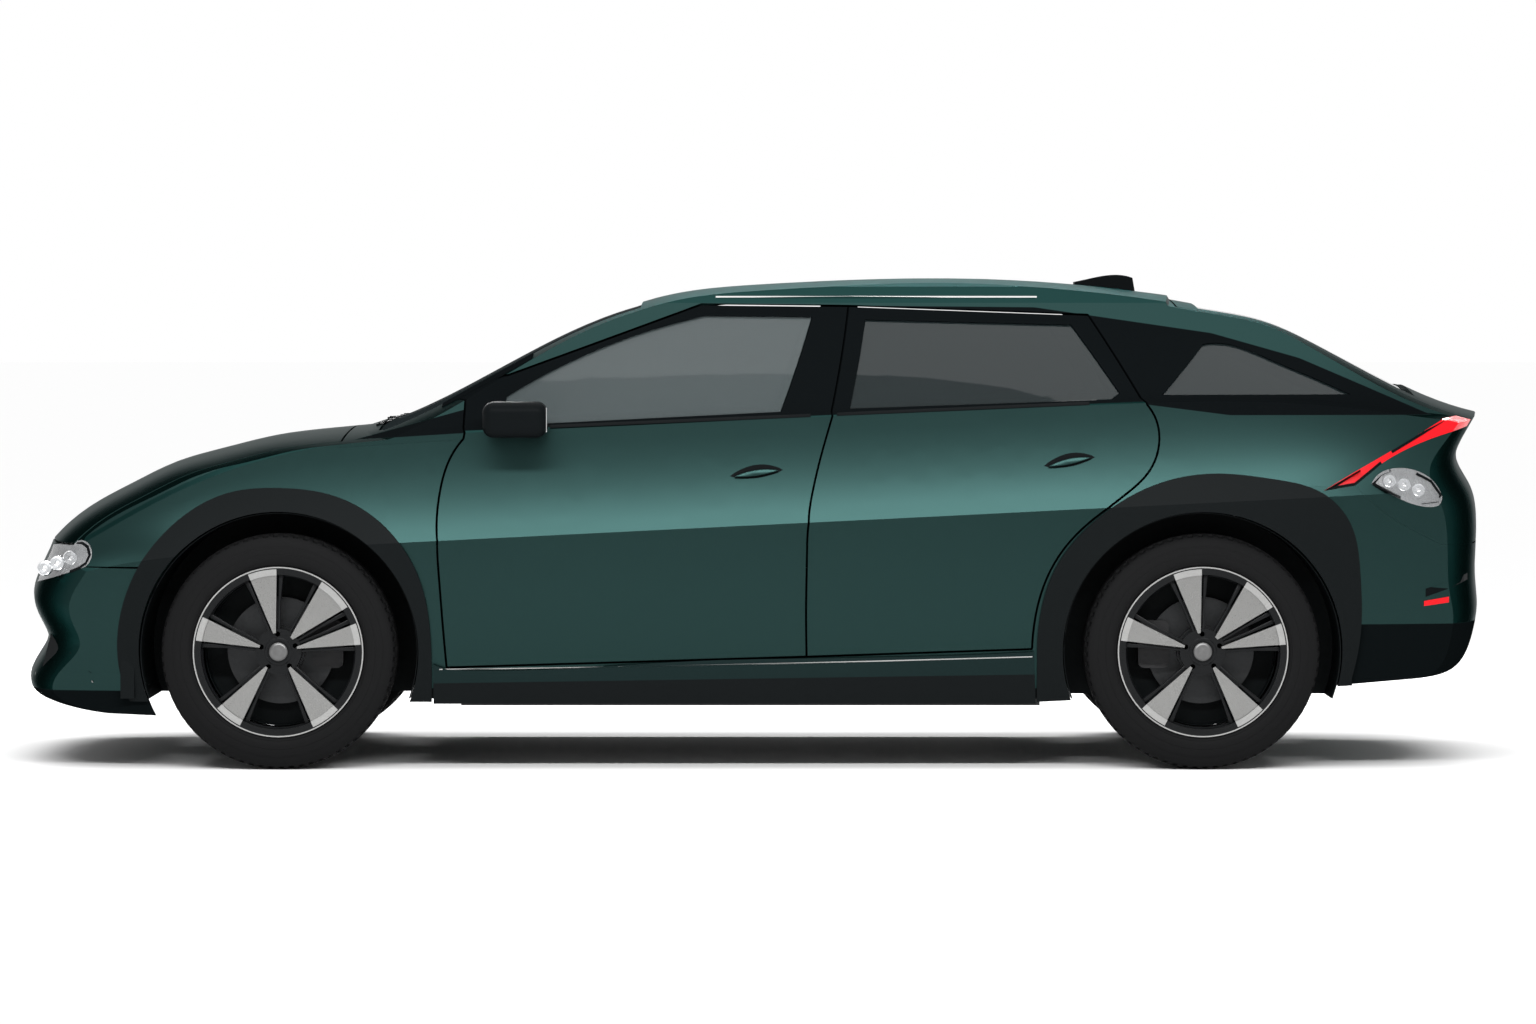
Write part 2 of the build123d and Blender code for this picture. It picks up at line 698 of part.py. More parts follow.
sill_trim = make_sill_trim()
front_arch_runs = [
    [(front_axle_x - 470, 212), (front_axle_x - 500, 300), (front_axle_x - 470, 570),
     (front_axle_x - 330, 770), (front_axle_x - 160, 868), (front_axle_x, 884),
     (front_axle_x + 180, 858), (front_axle_x + 340, 760), (front_axle_x + 444, 600),
     (front_axle_x + 478, 420), (front_axle_x + 480, 212)],
    [(front_axle_x + 480, 212), (front_axle_x - 470, 212)],
]
rear_arch_foot = (rear_axle_x + 472, 262)
rear_arch_runs = [
    [(rear_axle_x - 520, 212), rear_arch_outer[0]],
    rear_arch_outer,
    [rear_arch_outer[-1], rear_arch_foot],
    [rear_arch_foot, (rear_axle_x - 520, 212)],
]
front_arch_trim = make_arch_trim(front_axle_x, front_arch_runs)
rear_arch_trim = make_arch_trim(rear_axle_x, rear_arch_runs)


# Wheels, modelled for the left side with the axle along Y
wheel_y = -track / 2
hub_face_y = wheel_y - 30
spindle_radius = 30
bead_half = tyre_width / 2 - 18
disc_radius = 168
disc_thickness = 28
blades = [(12.7, 7.5), (45.5, 12.5), (101, 10), (163.5, 8.5), (232.7, 9.8), (305.5, 10.5)]


def make_tyre(axle_x):
    """A tyre, turned about its axle."""
    bead = rim_radius - 11
    seat = rim_radius + seat_gap
    outline_points = [
        (bead_half, bead), (bead_half, seat), (tyre_width / 2 - 5, seat + 6),
        (tyre_width / 2, tyre_radius - 78), (tyre_width / 2 - 3, tyre_radius - 40),
        (tyre_width / 2 - 14, tyre_radius - 14), (tyre_width / 2 - 34, tyre_radius - 3),
        (tyre_width / 2 - 60, tyre_radius)]
    mirrored = [(-y, r) for y, r in reversed(outline_points)]
    with BuildPart() as tyre:
        with BuildSketch(Plane.YZ.offset(axle_x)):
            with BuildLine():
                Polyline([(wheel_y + y, tyre_radius + r)
                          for y, r in outline_points + mirrored], close=True)
            make_face()
        revolve(axis=Axis((axle_x, 0, tyre_radius), (0, 1, 0)))
    return tyre.part


def make_rim(axle_x):
    """A rim: barrel, hub and six flat blades on dark spokes."""
    barrel = rim_radius - 11 - seat_gap
    outer_y = wheel_y - tyre_width / 2 + 8
    inner_y = wheel_y + tyre_width / 2 - 8
    face_y = outer_y + 6
    with BuildPart() as rim:
        with BuildSketch(Plane.YZ.offset(axle_x)):
            with BuildLine():
                Polyline(
                    (outer_y, tyre_radius + barrel - 14),
                    (outer_y, tyre_radius + rim_radius),
                    (wheel_y - bead_half - seat_gap, tyre_radius + rim_radius),
                    (wheel_y - bead_half - seat_gap, tyre_radius + barrel),
                    (wheel_y + bead_half + seat_gap, tyre_radius + barrel),
                    (wheel_y + bead_half + seat_gap, tyre_radius + rim_radius),
                    (inner_y, tyre_radius + rim_radius),
                    (inner_y, tyre_radius + barrel - 10),
                    close=True)
            make_face()
        revolve(axis=Axis((axle_x, 0, tyre_radius), (0, 1, 0)))
        with BuildSketch(Plane.XZ.offset(-hub_face_y)):
            with Locations((axle_x, tyre_radius)):
                Circle(72)
        extrude(amount=hub_face_y - face_y - 8, dir=(0, -1, 0))
        for angle, half_angle in blades:
            plane = Plane((axle_x, face_y + 30, tyre_radius), x_dir=(1, 0, 0),
                          z_dir=(0, -1, 0))
            with BuildSketch(plane):
                with BuildLine():
                    Polyline(*[Vector(radius, 0).rotate(Axis.Z, angle + turn)
                               for radius, turn in [
                                   (60, -half_angle * 0.4), (barrel - 2, -half_angle),
                                   (barrel - 2, half_angle), (60, half_angle * 0.4)]],
                             close=True)
                make_face()
            extrude(amount=30)
    return rim.part


def make_disc(axle_x):
    """A brake disc with its hat, bored for the spindle."""
    with BuildPart() as disc:
        with BuildSketch(Plane.XZ.offset(-(hub_face_y + seat_gap))):
            with Locations((axle_x, tyre_radius)):
                Circle(78)
        extrude(amount=36, dir=(0, 1, 0))
        with BuildSketch(Plane.XZ.offset(-(hub_face_y + 36))):
            with Locations((axle_x, tyre_radius)):
                Circle(disc_radius)
        extrude(amount=disc_thickness, dir=(0, 1, 0))
        with BuildSketch(Plane.XZ.offset(-hub_face_y)):
            with Locations((axle_x, tyre_radius)):
                Circle(spindle_radius + running_gap)
        extrude(amount=200, dir=(0, 1, 0), mode=Mode.SUBTRACT)
    return disc.part


# Hub carriers
kingpin_y = wheel_y + 65
carrier_y = hub_face_y + 36 + disc_thickness + 8


def make_carrier(axle_x, caliper_side):
    """A hub carrier: upright, spindle and brake caliper, for the left side."""
    disc_outer_y = hub_face_y + 36
    with BuildPart() as carrier:
        with BuildSketch(Plane.XZ.offset(-carrier_y)):
            with Locations((axle_x, tyre_radius)):
                RectangleRounded(130, 250, 40)
        extrude(amount=60, dir=(0, 1, 0))
        with BuildSketch(Plane.XZ.offset(-(hub_face_y + 6))):
            with Locations((axle_x, tyre_radius)):
                Circle(spindle_radius)
        extrude(amount=carrier_y - hub_face_y + 10, dir=(0, 1, 0))
        middle_x = axle_x + caliper_side * 150
        with BuildSketch(Plane.XZ.offset(-(disc_outer_y - 22))):
            with Locations((middle_x, tyre_radius + 20)):
                RectangleRounded(96, 150, 20)
        extrude(amount=22 + disc_thickness + 8 + 40, dir=(0, 1, 0))
        with BuildSketch(Plane.XZ.offset(-carrier_y)):
            with Locations((axle_x + caliper_side * 75, tyre_radius + 20)):
                Rectangle(110, 90)
        extrude(amount=36, dir=(0, 1, 0))
        with BuildSketch(Plane.XZ.offset(-(disc_outer_y - 7))):
            with Locations((axle_x, tyre_radius)):
                Circle(disc_radius + 7)
                Circle(spindle_radius, mode=Mode.SUBTRACT)
        extrude(amount=disc_thickness + 14, dir=(0, 1, 0), mode=Mode.SUBTRACT)
    return carrier.part


front_carrier = make_carrier(front_axle_x, 1)
rear_carrier = make_carrier(rear_axle_x, -1)
arm_root_y = -330


def make_front_subframe():
    """The front cross member with its two lower arms under the carriers."""
    arm_z = tyre_radius - 125 - seat_gap
    with BuildPart() as frame:
        add(block((front_axle_x - 150, arm_root_y - 20, 205),
                  (front_axle_x + 250, 20 - arm_root_y, floor_height - seat_gap)))
        with BuildSketch(Plane.XY.offset(arm_z)):
            with BuildLine():
                Polyline((front_axle_x - 120, arm_root_y),
                         (front_axle_x - 18, kingpin_y - 8),
                         (front_axle_x + 18, kingpin_y - 8),
                         (front_axle_x + 230, arm_root_y), close=True)
            make_face()
            mirror(about=Plane.XZ)
        extrude(amount=-26)
    return frame.part


def make_rear_subframe():
    """The rear cross member with its arms."""
    with BuildPart() as frame:
        add(block((rear_axle_x - 230, -400, 208), (rear_axle_x + 230, 400,
                                                 floor_height - seat_gap)))
        for side in (-1, 1):
            inner = side * 380
            outer_end = side * -(carrier_y + 60 + seat_gap)
            low, high = sorted((inner, outer_end))
            add(block((rear_axle_x - 60, low, 218), (rear_axle_x + 60, high, 250)))
            upright = sorted((outer_end, outer_end - side * 40))
            add(block((rear_axle_x - 60, upright[0], 218),
                      (rear_axle_x + 60, upright[1], 420)))
    return frame.part


# Interior
seat_y = 370


def seat(width, centre_y, cushion_x, back_x, headrests):
    """A plain seat: base, cushion, back and headrests, across a width."""
    low, high = centre_y - width / 2, centre_y + width / 2
    plane = Plane.XZ.offset(-high)
    with BuildPart() as part:
        with BuildSketch(plane):
            with BuildLine():
                Polyline((cushion_x, floor_top + seat_gap),
                         (cushion_x - 20, 420), (cushion_x + 40, 480),
                         (back_x - 60, 450), (back_x + 100, 1000),
                         (back_x + 200, 1010), (back_x + 90, 430),
                         (back_x + 60, floor_top + seat_gap), close=True)
            make_face()
        extrude(amount=width)
        for head_y in headrests:
            add(block((back_x + 130, head_y - 120, 1005), (back_x + 220, head_y + 120,
                                                           1170)))
    return part.part


def make_rear_bench():
    """The rear bench, notched round the wheel houses."""
    notch = arch_cut(rear_axle_x, arch_radius + liner + seat_gap,
                     rear_liner_y + liner + seat_gap)
    with BuildPart() as bench:
        add(seat(1280, 0, rear_axle_x - 900, rear_axle_x - 485, [-seat_y, seat_y]))
        add([notch, mirror(notch, about=Plane.XZ)], mode=Mode.SUBTRACT)
    return bench.part


front_seat = seat(500, -seat_y, -480, 0, [-seat_y])


def make_dashboard():
    """The dashboard, as one moulding across the cabin."""
    with BuildPart() as dash:
        with BuildSketch(Plane.XZ.offset(-690)):
            with BuildLine():
                Polyline((firewall_x + 22 + seat_gap, 620), (firewall_x + 22 + seat_gap, 1030),
                         (firewall_x + 240, 1035), (firewall_x + 400, 960),
                         (firewall_x + 380, 880), (firewall_x + 200, 640), close=True)
            make_face()
        extrude(amount=1380)
    return dash.part


def make_steering_wheel():
    """The steering wheel on its column, on the left."""
    tilt = Plane((firewall_x + 560, -seat_y, 890), x_dir=(0, 1, 0), z_dir=(1, 0, 0.45))
    with BuildPart() as wheel:
        with BuildSketch(Plane(tilt.origin, x_dir=tilt.z_dir, z_dir=tilt.x_dir)):
            with Locations((0, 172)):
                Circle(15)
        revolve(axis=Axis(tilt.origin, tilt.z_dir))
        with BuildSketch(tilt):
            Rectangle(340, 34)
            with Locations((0, -85)):
                Rectangle(34, 170)
            Circle(62)
        extrude(amount=18, both=True)
        with BuildSketch(tilt):
            Circle(32)
        extrude(amount=-240)
        add(Pos(seat_gap, 0, 0) * dashboard, mode=Mode.SUBTRACT)
    return wheel.part.solids().sort_by(SortBy.VOLUME)[-1]


dashboard = make_dashboard()
steering_wheel = make_steering_wheel()
battery_pack = block((front_axle_x + 560, -640, ground_clearance),
                     (rear_axle_x - 500, 640, floor_height - seat_gap))
front_drive_unit = block((front_axle_x - 170, -300, floor_top + seat_gap),
                         (front_axle_x + 230, 300, 640))
rear_drive_unit = block((rear_axle_x - 190, -260, floor_top + seat_gap),
                        (rear_axle_x + 210, 260, 590))
front_tray = block((nose_x + 430, -440, 660), (firewall_x - seat_gap, 440, 830))


def make_mirror():
    """The left mirror on its arm."""
    middle = (front_axle_x + 748, -(body_half_width + 66), 1100)
    with BuildPart() as housing:
        with Locations(middle):
            Box(200, 170, 112)
        fillet(housing.edges(), 34)
        add(block((middle[0] + 10, middle[1] + 30, 1052),
                  (middle[0] + 80, -(body_half_width - 90), 1076)))
        add(trim_back, mode=Mode.SUBTRACT)
    return housing.part.solids().sort_by(SortBy.VOLUME)[-1]


mirror_left = make_mirror()


def make_lid_buffers():
    """Rubber buffers that the bonnet and the tailgate rest on."""
    rear_seat_z = tailgate_bottom_z - shut_gap
    buffers = []
    for side in (-1, 1):
        low, high = sorted((side * 560, side * 600))
        post = block((radiator_panel_x + 1, low, radiator_panel_top + 2 * seat_gap),
                     (radiator_panel_x + 21, high, 1000))
        buffers.append(Pos(0, 0, -seat_gap) * (post & thin))
        low, high = sorted((side * 380, side * 420))
        buffers.append(block((tail_x - 100, low, rear_seat_z + seat_gap),
                             (tail_x - 65, high, tailgate_bottom_z - seat_gap)))
    return Compound(children=buffers)


def make_roof_fin():
    """The low aerial housing at the back of the roof."""
    back_x = rear_axle_x - 172
    with BuildPart() as fin:
        with BuildSketch(Plane.XZ):
            with BuildLine():
                Spline((back_x - 190, 1536), (back_x - 120, 1551), (back_x - 30, 1557),
                       (back_x, 1549))
                Polyline((back_x, 1549), (back_x + 12, 1480), (back_x - 190, 1480),
                         (back_x - 190, 1536))
            make_face()
        extrude(amount=44, both=True)
        add(Pos(0, 0, seat_gap) * outer, mode=Mode.SUBTRACT)
    return fin.part.solids().sort_by(SortBy.VOLUME)[-1]


# Write every piece
os.makedirs("parts", exist_ok=True)
pairs = {
    "door_front": front_door, "door_rear": rear_door, "window_front": front_glass,
    "window_rear": rear_door_glass, "door_mirror": mirror_left,
    "hub_carrier_front": front_carrier,
}
for name, left in pairs.items():
    keep(left, name + "_left")
    keep(mirror(left, about=Plane.XZ), name + "_right")

for place, axle_x in (("front", front_axle_x), ("rear", rear_axle_x)):
    for name, make in (("tyre", make_tyre), ("rim", make_rim), ("brake_disc", make_disc)):
        left = make(axle_x)
        keep(left, f"{name}_{place}_left")
        keep(mirror(left, about=Plane.XZ), f"{name}_{place}_right")

twins = {
    "quarter_windows": quarter_glass, "headlamps": headlamp, "tail_lamps": tail_lamp,
    "reversing_lamps": reversing_lamp, "sill_trims": sill_trim,
    "front_arch_trims": front_arch_trim, "rear_arch_trims": rear_arch_trim,
    "centre_posts": centre_post(), "front_seats": front_seat,
    "rear_hub_carriers": rear_carrier,
    "front_door_hinges": make_hinge(front_hinge_x, firewall_x + 22 + seat_gap, 20),
}
for name, left in twins.items():
    keep(both_sides(left), name)

singles = {
    "body_shell": body_shell, "bonnet": bonnet, "tailgate": tailgate,
    "rear_window": rear_glass, "windscreen": windscreen, "front_bumper": front_bumper,
    "rear_bumper": rear_bumper, "front_wings": wings, "battery_pack": battery_pack,
    "front_drive_unit": front_drive_unit, "rear_drive_unit": rear_drive_unit,
    "front_tray": front_tray, "front_subframe": make_front_subframe(),
    "rear_subframe": make_rear_subframe(), "rear_bench": make_rear_bench(),
    "dashboard": dashboard, "steering_wheel": steering_wheel,
    "lid_buffers": make_lid_buffers(), "roof_fin": make_roof_fin(),
    "front_structure": make_front_structure(),
}
for name, piece in singles.items():
    keep(piece, name)
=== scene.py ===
import json
import math
import random

import bpy
from mathutils import Matrix, Vector


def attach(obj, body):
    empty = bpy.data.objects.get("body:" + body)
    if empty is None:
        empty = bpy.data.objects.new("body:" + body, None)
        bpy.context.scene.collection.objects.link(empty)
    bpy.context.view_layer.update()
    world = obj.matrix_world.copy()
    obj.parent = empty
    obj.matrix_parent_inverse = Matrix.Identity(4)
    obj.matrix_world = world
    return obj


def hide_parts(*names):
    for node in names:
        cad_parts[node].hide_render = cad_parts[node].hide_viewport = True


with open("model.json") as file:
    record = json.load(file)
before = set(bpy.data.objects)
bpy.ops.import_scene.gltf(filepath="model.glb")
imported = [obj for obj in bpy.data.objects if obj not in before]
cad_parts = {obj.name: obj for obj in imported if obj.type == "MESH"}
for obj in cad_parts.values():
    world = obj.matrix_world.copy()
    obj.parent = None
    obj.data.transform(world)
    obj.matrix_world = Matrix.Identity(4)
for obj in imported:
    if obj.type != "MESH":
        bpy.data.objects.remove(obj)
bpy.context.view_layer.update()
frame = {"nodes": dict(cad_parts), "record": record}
record = frame["record"]
random.seed(7)
print("frame loaded:", len(frame["nodes"]), "nodes")

# places shared by the pieces, in metres
car = {
    "frontAxle": -1.49,
    "rearAxle": 1.41,
    "wheelY": 0.8,
    "axleZ": 0.37,
    "beltZ": 1.063,
    "beltSlope": 0.043,
    "rimRadius": 0.268,
}


# shader helpers

def newMaterial(name):
    material = bpy.data.materials.new(name)
    material.use_nodes = True
    return material, material.node_tree.nodes, material.node_tree.links


def shaderOf(material):
    return material.node_tree.nodes["Principled BSDF"]


def setSockets(node, values):
    for key, value in values.items():
        if isinstance(value, tuple) and len(value) == 3:
            value = value + (1.0,)
        node.inputs[key].default_value = value


def groupTree(name, inputs, outputs):
    tree = bpy.data.node_groups.new(name, "ShaderNodeTree")
    for label, kind, value in inputs:
        socket = tree.interface.new_socket(label, in_out="INPUT", socket_type=kind)
        if value is not None:
            socket.default_value = value
    for label, kind in outputs:
        tree.interface.new_socket(label, in_out="OUTPUT", socket_type=kind)
    return tree, tree.nodes.new("NodeGroupInput"), tree.nodes.new("NodeGroupOutput")


def mathNode(tree, operation, first, second=None, clamp=False):
    node = tree.nodes.new("ShaderNodeMath")
    node.operation = operation
    node.use_clamp = clamp
    for index, value in enumerate((first, second)):
        if value is None:
            continue
        if isinstance(value, (int, float)):
            node.inputs[index].default_value = value
        else:
            tree.links.new(value, node.inputs[index])
    return node.outputs[0]


def makeMottleGroup():
    # small uneven patches that change a colour and a roughness
    tree, start, end = groupTree(
        "mottle",
        [("Color", "NodeSocketColor", (0.5, 0.5, 0.5, 1)), ("Scale", "NodeSocketFloat", 40.0),
         ("Amount", "NodeSocketFloat", 0.1), ("Roughness", "NodeSocketFloat", 0.5)],
        [("Color", "NodeSocketColor"), ("Roughness", "NodeSocketFloat"),
         ("Height", "NodeSocketFloat")])
    coords = tree.nodes.new("ShaderNodeTexCoord")
    noise = tree.nodes.new("ShaderNodeTexNoise")
    noise.inputs["Detail"].default_value = 5
    tree.links.new(coords.outputs["Object"], noise.inputs["Vector"])
    tree.links.new(start.outputs["Scale"], noise.inputs["Scale"])
    centred = mathNode(tree, "SUBTRACT", noise.outputs["Fac"], 0.5)
    swing = mathNode(tree, "MULTIPLY", centred, start.outputs["Amount"])
    brightness = mathNode(tree, "MULTIPLY_ADD", swing, 2.0)
    brightness.node.inputs[2].default_value = 1.0
    mix = tree.nodes.new("ShaderNodeVectorMath")
    mix.operation = "SCALE"
    tree.links.new(start.outputs["Color"], mix.inputs[0])
    tree.links.new(brightness, mix.inputs["Scale"])
    tree.links.new(mix.outputs[0], end.inputs["Color"])
    tree.links.new(mathNode(tree, "ADD", start.outputs["Roughness"], swing, True),
                   end.inputs["Roughness"])
    tree.links.new(noise.outputs["Fac"], end.inputs["Height"])
    return tree


def makeEdgeGateGroup():
    # one above a sloping line in the side view, zero below it
    tree, start, end = groupTree(
        "edgeGate",
        [("Slope", "NodeSocketFloat", 0.0), ("Height", "NodeSocketFloat", 1.0),
         ("Softness", "NodeSocketFloat", 0.002)],
        [("Above", "NodeSocketFloat")])
    coords = tree.nodes.new("ShaderNodeTexCoord")
    split = tree.nodes.new("ShaderNodeSeparateXYZ")
    tree.links.new(coords.outputs["Object"], split.inputs[0])
    rise = mathNode(tree, "MULTIPLY", split.outputs["X"], start.outputs["Slope"])
    line = mathNode(tree, "ADD", rise, start.outputs["Height"])
    over = mathNode(tree, "SUBTRACT", split.outputs["Z"], line)
    soft = mathNode(tree, "DIVIDE", over, start.outputs["Softness"])
    result = mathNode(tree, "ADD", soft, 0.5, True)
    tree.links.new(result, end.inputs["Above"])
    return tree


mottleGroup = makeMottleGroup()
edgeGateGroup = makeEdgeGateGroup()


def placeMottle(material, color, scale, amount, roughness):
    node = material.node_tree.nodes.new("ShaderNodeGroup")
    node.node_tree = mottleGroup
    setSockets(node, {"Color": color, "Scale": scale, "Amount": amount,
                      "Roughness": roughness})
    return node


def placeGate(material, slope, height, softness=0.002):
    node = material.node_tree.nodes.new("ShaderNodeGroup")
    node.node_tree = edgeGateGroup
    setSockets(node, {"Slope": slope, "Height": height, "Softness": softness})
    return node.outputs["Above"]


def addBump(material, height, strength, distance):
    nodes, links = material.node_tree.nodes, material.node_tree.links
    bump = nodes.new("ShaderNodeBump")
    setSockets(bump, {"Strength": strength, "Distance": distance})
    links.new(height, bump.inputs["Height"])
    links.new(bump.outputs[0], shaderOf(material).inputs["Normal"])


def plainFinish(name, look):
    # a finish with a little mottle in its colour and roughness
    material, nodes, links = newMaterial(name)
    shader = shaderOf(material)
    setSockets(shader, look.get("shader", {}))
    mottle = placeMottle(material, look["color"], look.get("scale", 60.0),
                         look.get("amount", 0.08), look["roughness"])
    links.new(mottle.outputs["Color"], shader.inputs["Base Color"])
    links.new(mottle.outputs["Roughness"], shader.inputs["Roughness"])
    if look.get("bump"):
        addBump(material, mottle.outputs["Height"], look["bump"], 0.001)
    return material


paintLook = {
    "color": (0.0135, 0.0310, 0.0295),
    "roughness": 0.33,
    "scale": 900.0,
    "amount": 0.10,
    "shader": {"Metallic": 1.0, "Specular Tint": (0.16, 0.20, 0.20),
               "Specular IOR Level": 0.0},
}
blackLook = {
    "color": (0.0034, 0.0044, 0.0049),
    "roughness": 0.42,
    "scale": 300.0,
    "amount": 0.05,
    "shader": {"Specular IOR Level": 0.02},
}
trimLook = {
    "color": (0.0030, 0.0042, 0.0046),
    "roughness": 0.55,
    "scale": 500.0,
    "amount": 0.15,
    "bump": 0.12,
    "shader": {"Specular IOR Level": 0.06},
}
paint = plainFinish("deepGreenPaint", paintLook)
gloss = plainFinish("blackGloss", blackLook)
trim = plainFinish("darkTrim", trimLook)
screenEdge = plainFinish("screenEdge", dict(blackLook, shader={"Specular IOR Level": 0.0}))


def zoneMask(material, zones):
    # a zone lies between sloping lines in the side view: slope, height, above or below
    mask = None
    for zone in zones:
        inside = None
        for slope, height, above in zone:
            gate = placeGate(material, slope, height)
            if not above:
                gate = mathNode(material.node_tree, "SUBTRACT", 1.0, gate)
            inside = gate if inside is None else mathNode(
                material.node_tree, "MULTIPLY", inside, gate)
        mask = inside if mask is None else mathNode(
            material.node_tree, "MAXIMUM", mask, inside)
    return mask


def twoFinish(name, zoneLook, restLook, zones):
    # one finish inside the zones and another on the rest
    material, nodes, links = newMaterial(name)
    shader = shaderOf(material)
    setSockets(shader, restLook["shader"])
    mask = zoneMask(material, zones)
    mottles = [placeMottle(material, look["color"], look["scale"], look["amount"],
                           look["roughness"]) for look in (restLook, zoneLook)]
    colour = nodes.new("ShaderNodeMix")
    colour.data_type = "RGBA"
    links.new(mask, colour.inputs[0])
    for mottle, socket in zip(mottles, (6, 7)):
        links.new(mottle.outputs["Color"], colour.inputs[socket])
    links.new(colour.outputs[2], shader.inputs["Base Color"])
    rough = nodes.new("ShaderNodeMix")
    links.new(mask, rough.inputs[0])
    for mottle, socket in zip(mottles, (2, 3)):
        links.new(mottle.outputs["Roughness"], rough.inputs[socket])
    links.new(rough.outputs[0], shader.inputs["Roughness"])
    low = restLook["shader"].get("Metallic", 0.0)
    high = zoneLook["shader"].get("Metallic", 0.0)
    metal = mathNode(material.node_tree, "MULTIPLY_ADD", mask, high - low)
    metal.node.inputs[2].default_value = low
    links.new(metal, shader.inputs["Metallic"])
    return material


# doors: black above the belt line
doorPaint = twoFinish("doorPaint", blackLook, paintLook,
                      [[(car["beltSlope"], car["beltZ"] + 0.039, True)]])
bumperPaint = twoFinish("frontBumperPaint", trimLook, paintLook,
                        [[(0.0, 0.245, False)]])
rearBumperPaint = twoFinish("rearBumperPaint", trimLook, paintLook,
                            [[(0.0, 0.455, False)]])
# body: black trim round the quarter window, over the doors and at the screen's foot; below
# the quarter window the black also covers the ledge, as painted shade
quarterTrimAndShadeZone = [(-0.127, 1.302, True), (0.0, 1.112, True), (-0.009, 1.459, False),
               (-0.146, 1.581, False), (-0.284, 1.781, False), (-0.43, 2.033, False),
               (-40.0, 5.0, True)]
screenFootZone = [(0.274, 1.378, False), (0.063, 1.113, True), (-40.0, -12.0, False)]
shellPaint = twoFinish("shellPaint", blackLook, paintLook,
                       [quarterTrimAndShadeZone, screenFootZone])

glassLook = {"tint": (0.052, 0.065, 0.067), "alpha": 0.78}
rearGlassLook = {"tint": (0.010, 0.015, 0.016), "alpha": 0.86}


def paneFinish(name, look):
    # thin tinted pane: clear straight through, with a Fresnel reflection
    material, nodes, links = newMaterial(name)
    shader = shaderOf(material)
    mottle = placeMottle(material, look["tint"], 3.0, 0.05, 0.02)
    setSockets(shader, {"Roughness": 0.02, "IOR": 1.45,
                        "Specular IOR Level": look.get("level", 0.3)})
    links.new(mottle.outputs["Color"], shader.inputs["Base Color"])
    shader.inputs["Alpha"].default_value = look["alpha"]
    return material


pane = paneFinish("tintedPane", glassLook)
screenPane = paneFinish("screenPane", {"tint": (0.012, 0.016, 0.017), "alpha": 0.84,
                                        "level": 0.0})
darkPane = paneFinish("privacyPane", rearGlassLook)
lensLook = {"tint": (0.40, 0.41, 0.42), "alpha": 0.42}
lens = paneFinish("clearLens", lensLook)
# the red lens glows faintly like a lit lamp; on the rear reflectors, which are no lamps, the
# glow is painted light
redLensLook = {
    "color": (0.45, 0.006, 0.010),
    "roughness": 0.25,
    "scale": 200.0,
    "amount": 0.1,
    "shader": {"Specular IOR Level": 0.1, "Emission Color": (1.0, 0.012, 0.018),
               "Emission Strength": 0.30},
}
redLens = plainFinish("redLens", redLensLook)
tyreRubber = plainFinish("tyreRubber", {
    "color": (0.0048, 0.0049, 0.0052), "roughness": 0.72, "scale": 160.0, "amount": 0.3,
    "bump": 0.15, "shader": {"Specular IOR Level": 0.08}})
bufferRubber = plainFinish("bufferRubber", {
    "color": (0.014, 0.014, 0.015), "roughness": 0.8, "scale": 220.0, "amount": 0.25,
    "bump": 0.2, "shader": {}})
rimBlack = plainFinish("rimBlack", {
    "color": (0.0050, 0.0055, 0.0060), "roughness": 0.30, "scale": 300.0, "amount": 0.2,
    "shader": {"Specular IOR Level": 0.12}})
brakeIron = plainFinish("brakeIron", {
    "color": (0.030, 0.031, 0.032), "roughness": 0.45, "scale": 90.0, "amount": 0.3,
    "shader": {"Metallic": 1.0}})
carrierIron = plainFinish("carrierIron", {
    "color": (0.016, 0.016, 0.017), "roughness": 0.6, "scale": 70.0, "amount": 0.4,
    "bump": 0.3, "shader": {"Metallic": 0.5}})
structurePaint = plainFinish("structurePaint", dict(paintLook, roughness=0.5))
castAlloy = plainFinish("castAlloy", {
    "color": (0.30, 0.31, 0.32), "roughness": 0.5, "scale": 120.0, "amount": 0.25,
    "bump": 0.3, "shader": {"Metallic": 1.0}})
chassisPaint = plainFinish("chassisPaint", {
    "color": (0.02, 0.021, 0.022), "roughness": 0.6, "scale": 40.0, "amount": 0.3,
    "bump": 0.2, "shader": {}})
moulding = plainFinish("grainedMoulding", {
    "color": (0.022, 0.024, 0.026), "roughness": 0.65, "scale": 700.0, "amount": 0.25,
    "bump": 0.35, "shader": {}})
seatCloth = plainFinish("seatCloth", {
    "color": (0.045, 0.048, 0.052), "roughness": 0.9, "scale": 900.0, "amount": 0.5,
    "bump": 0.5, "shader": {"Sheen Weight": 0.25}})
wheelLeather = plainFinish("wheelLeather", {
    "color": (0.018, 0.018, 0.019), "roughness": 0.5, "scale": 500.0, "amount": 0.2,
    "bump": 0.3, "shader": {}})
bladeAlloy = plainFinish("machinedAlloy", {
    "color": (0.34, 0.34, 0.335), "roughness": 0.34, "scale": 250.0, "amount": 0.12,
    "shader": {"Metallic": 1.0}})
chrome = plainFinish("brightMetal", {
    "color": (0.78, 0.79, 0.80), "roughness": 0.12, "scale": 80.0, "amount": 0.1,
    "shader": {"Metallic": 1.0}})


capAlloy = plainFinish("capAlloy", {
    "color": (0.13, 0.13, 0.13), "roughness": 0.38, "scale": 80.0, "amount": 0.1,
    "shader": {"Metallic": 1.0}})


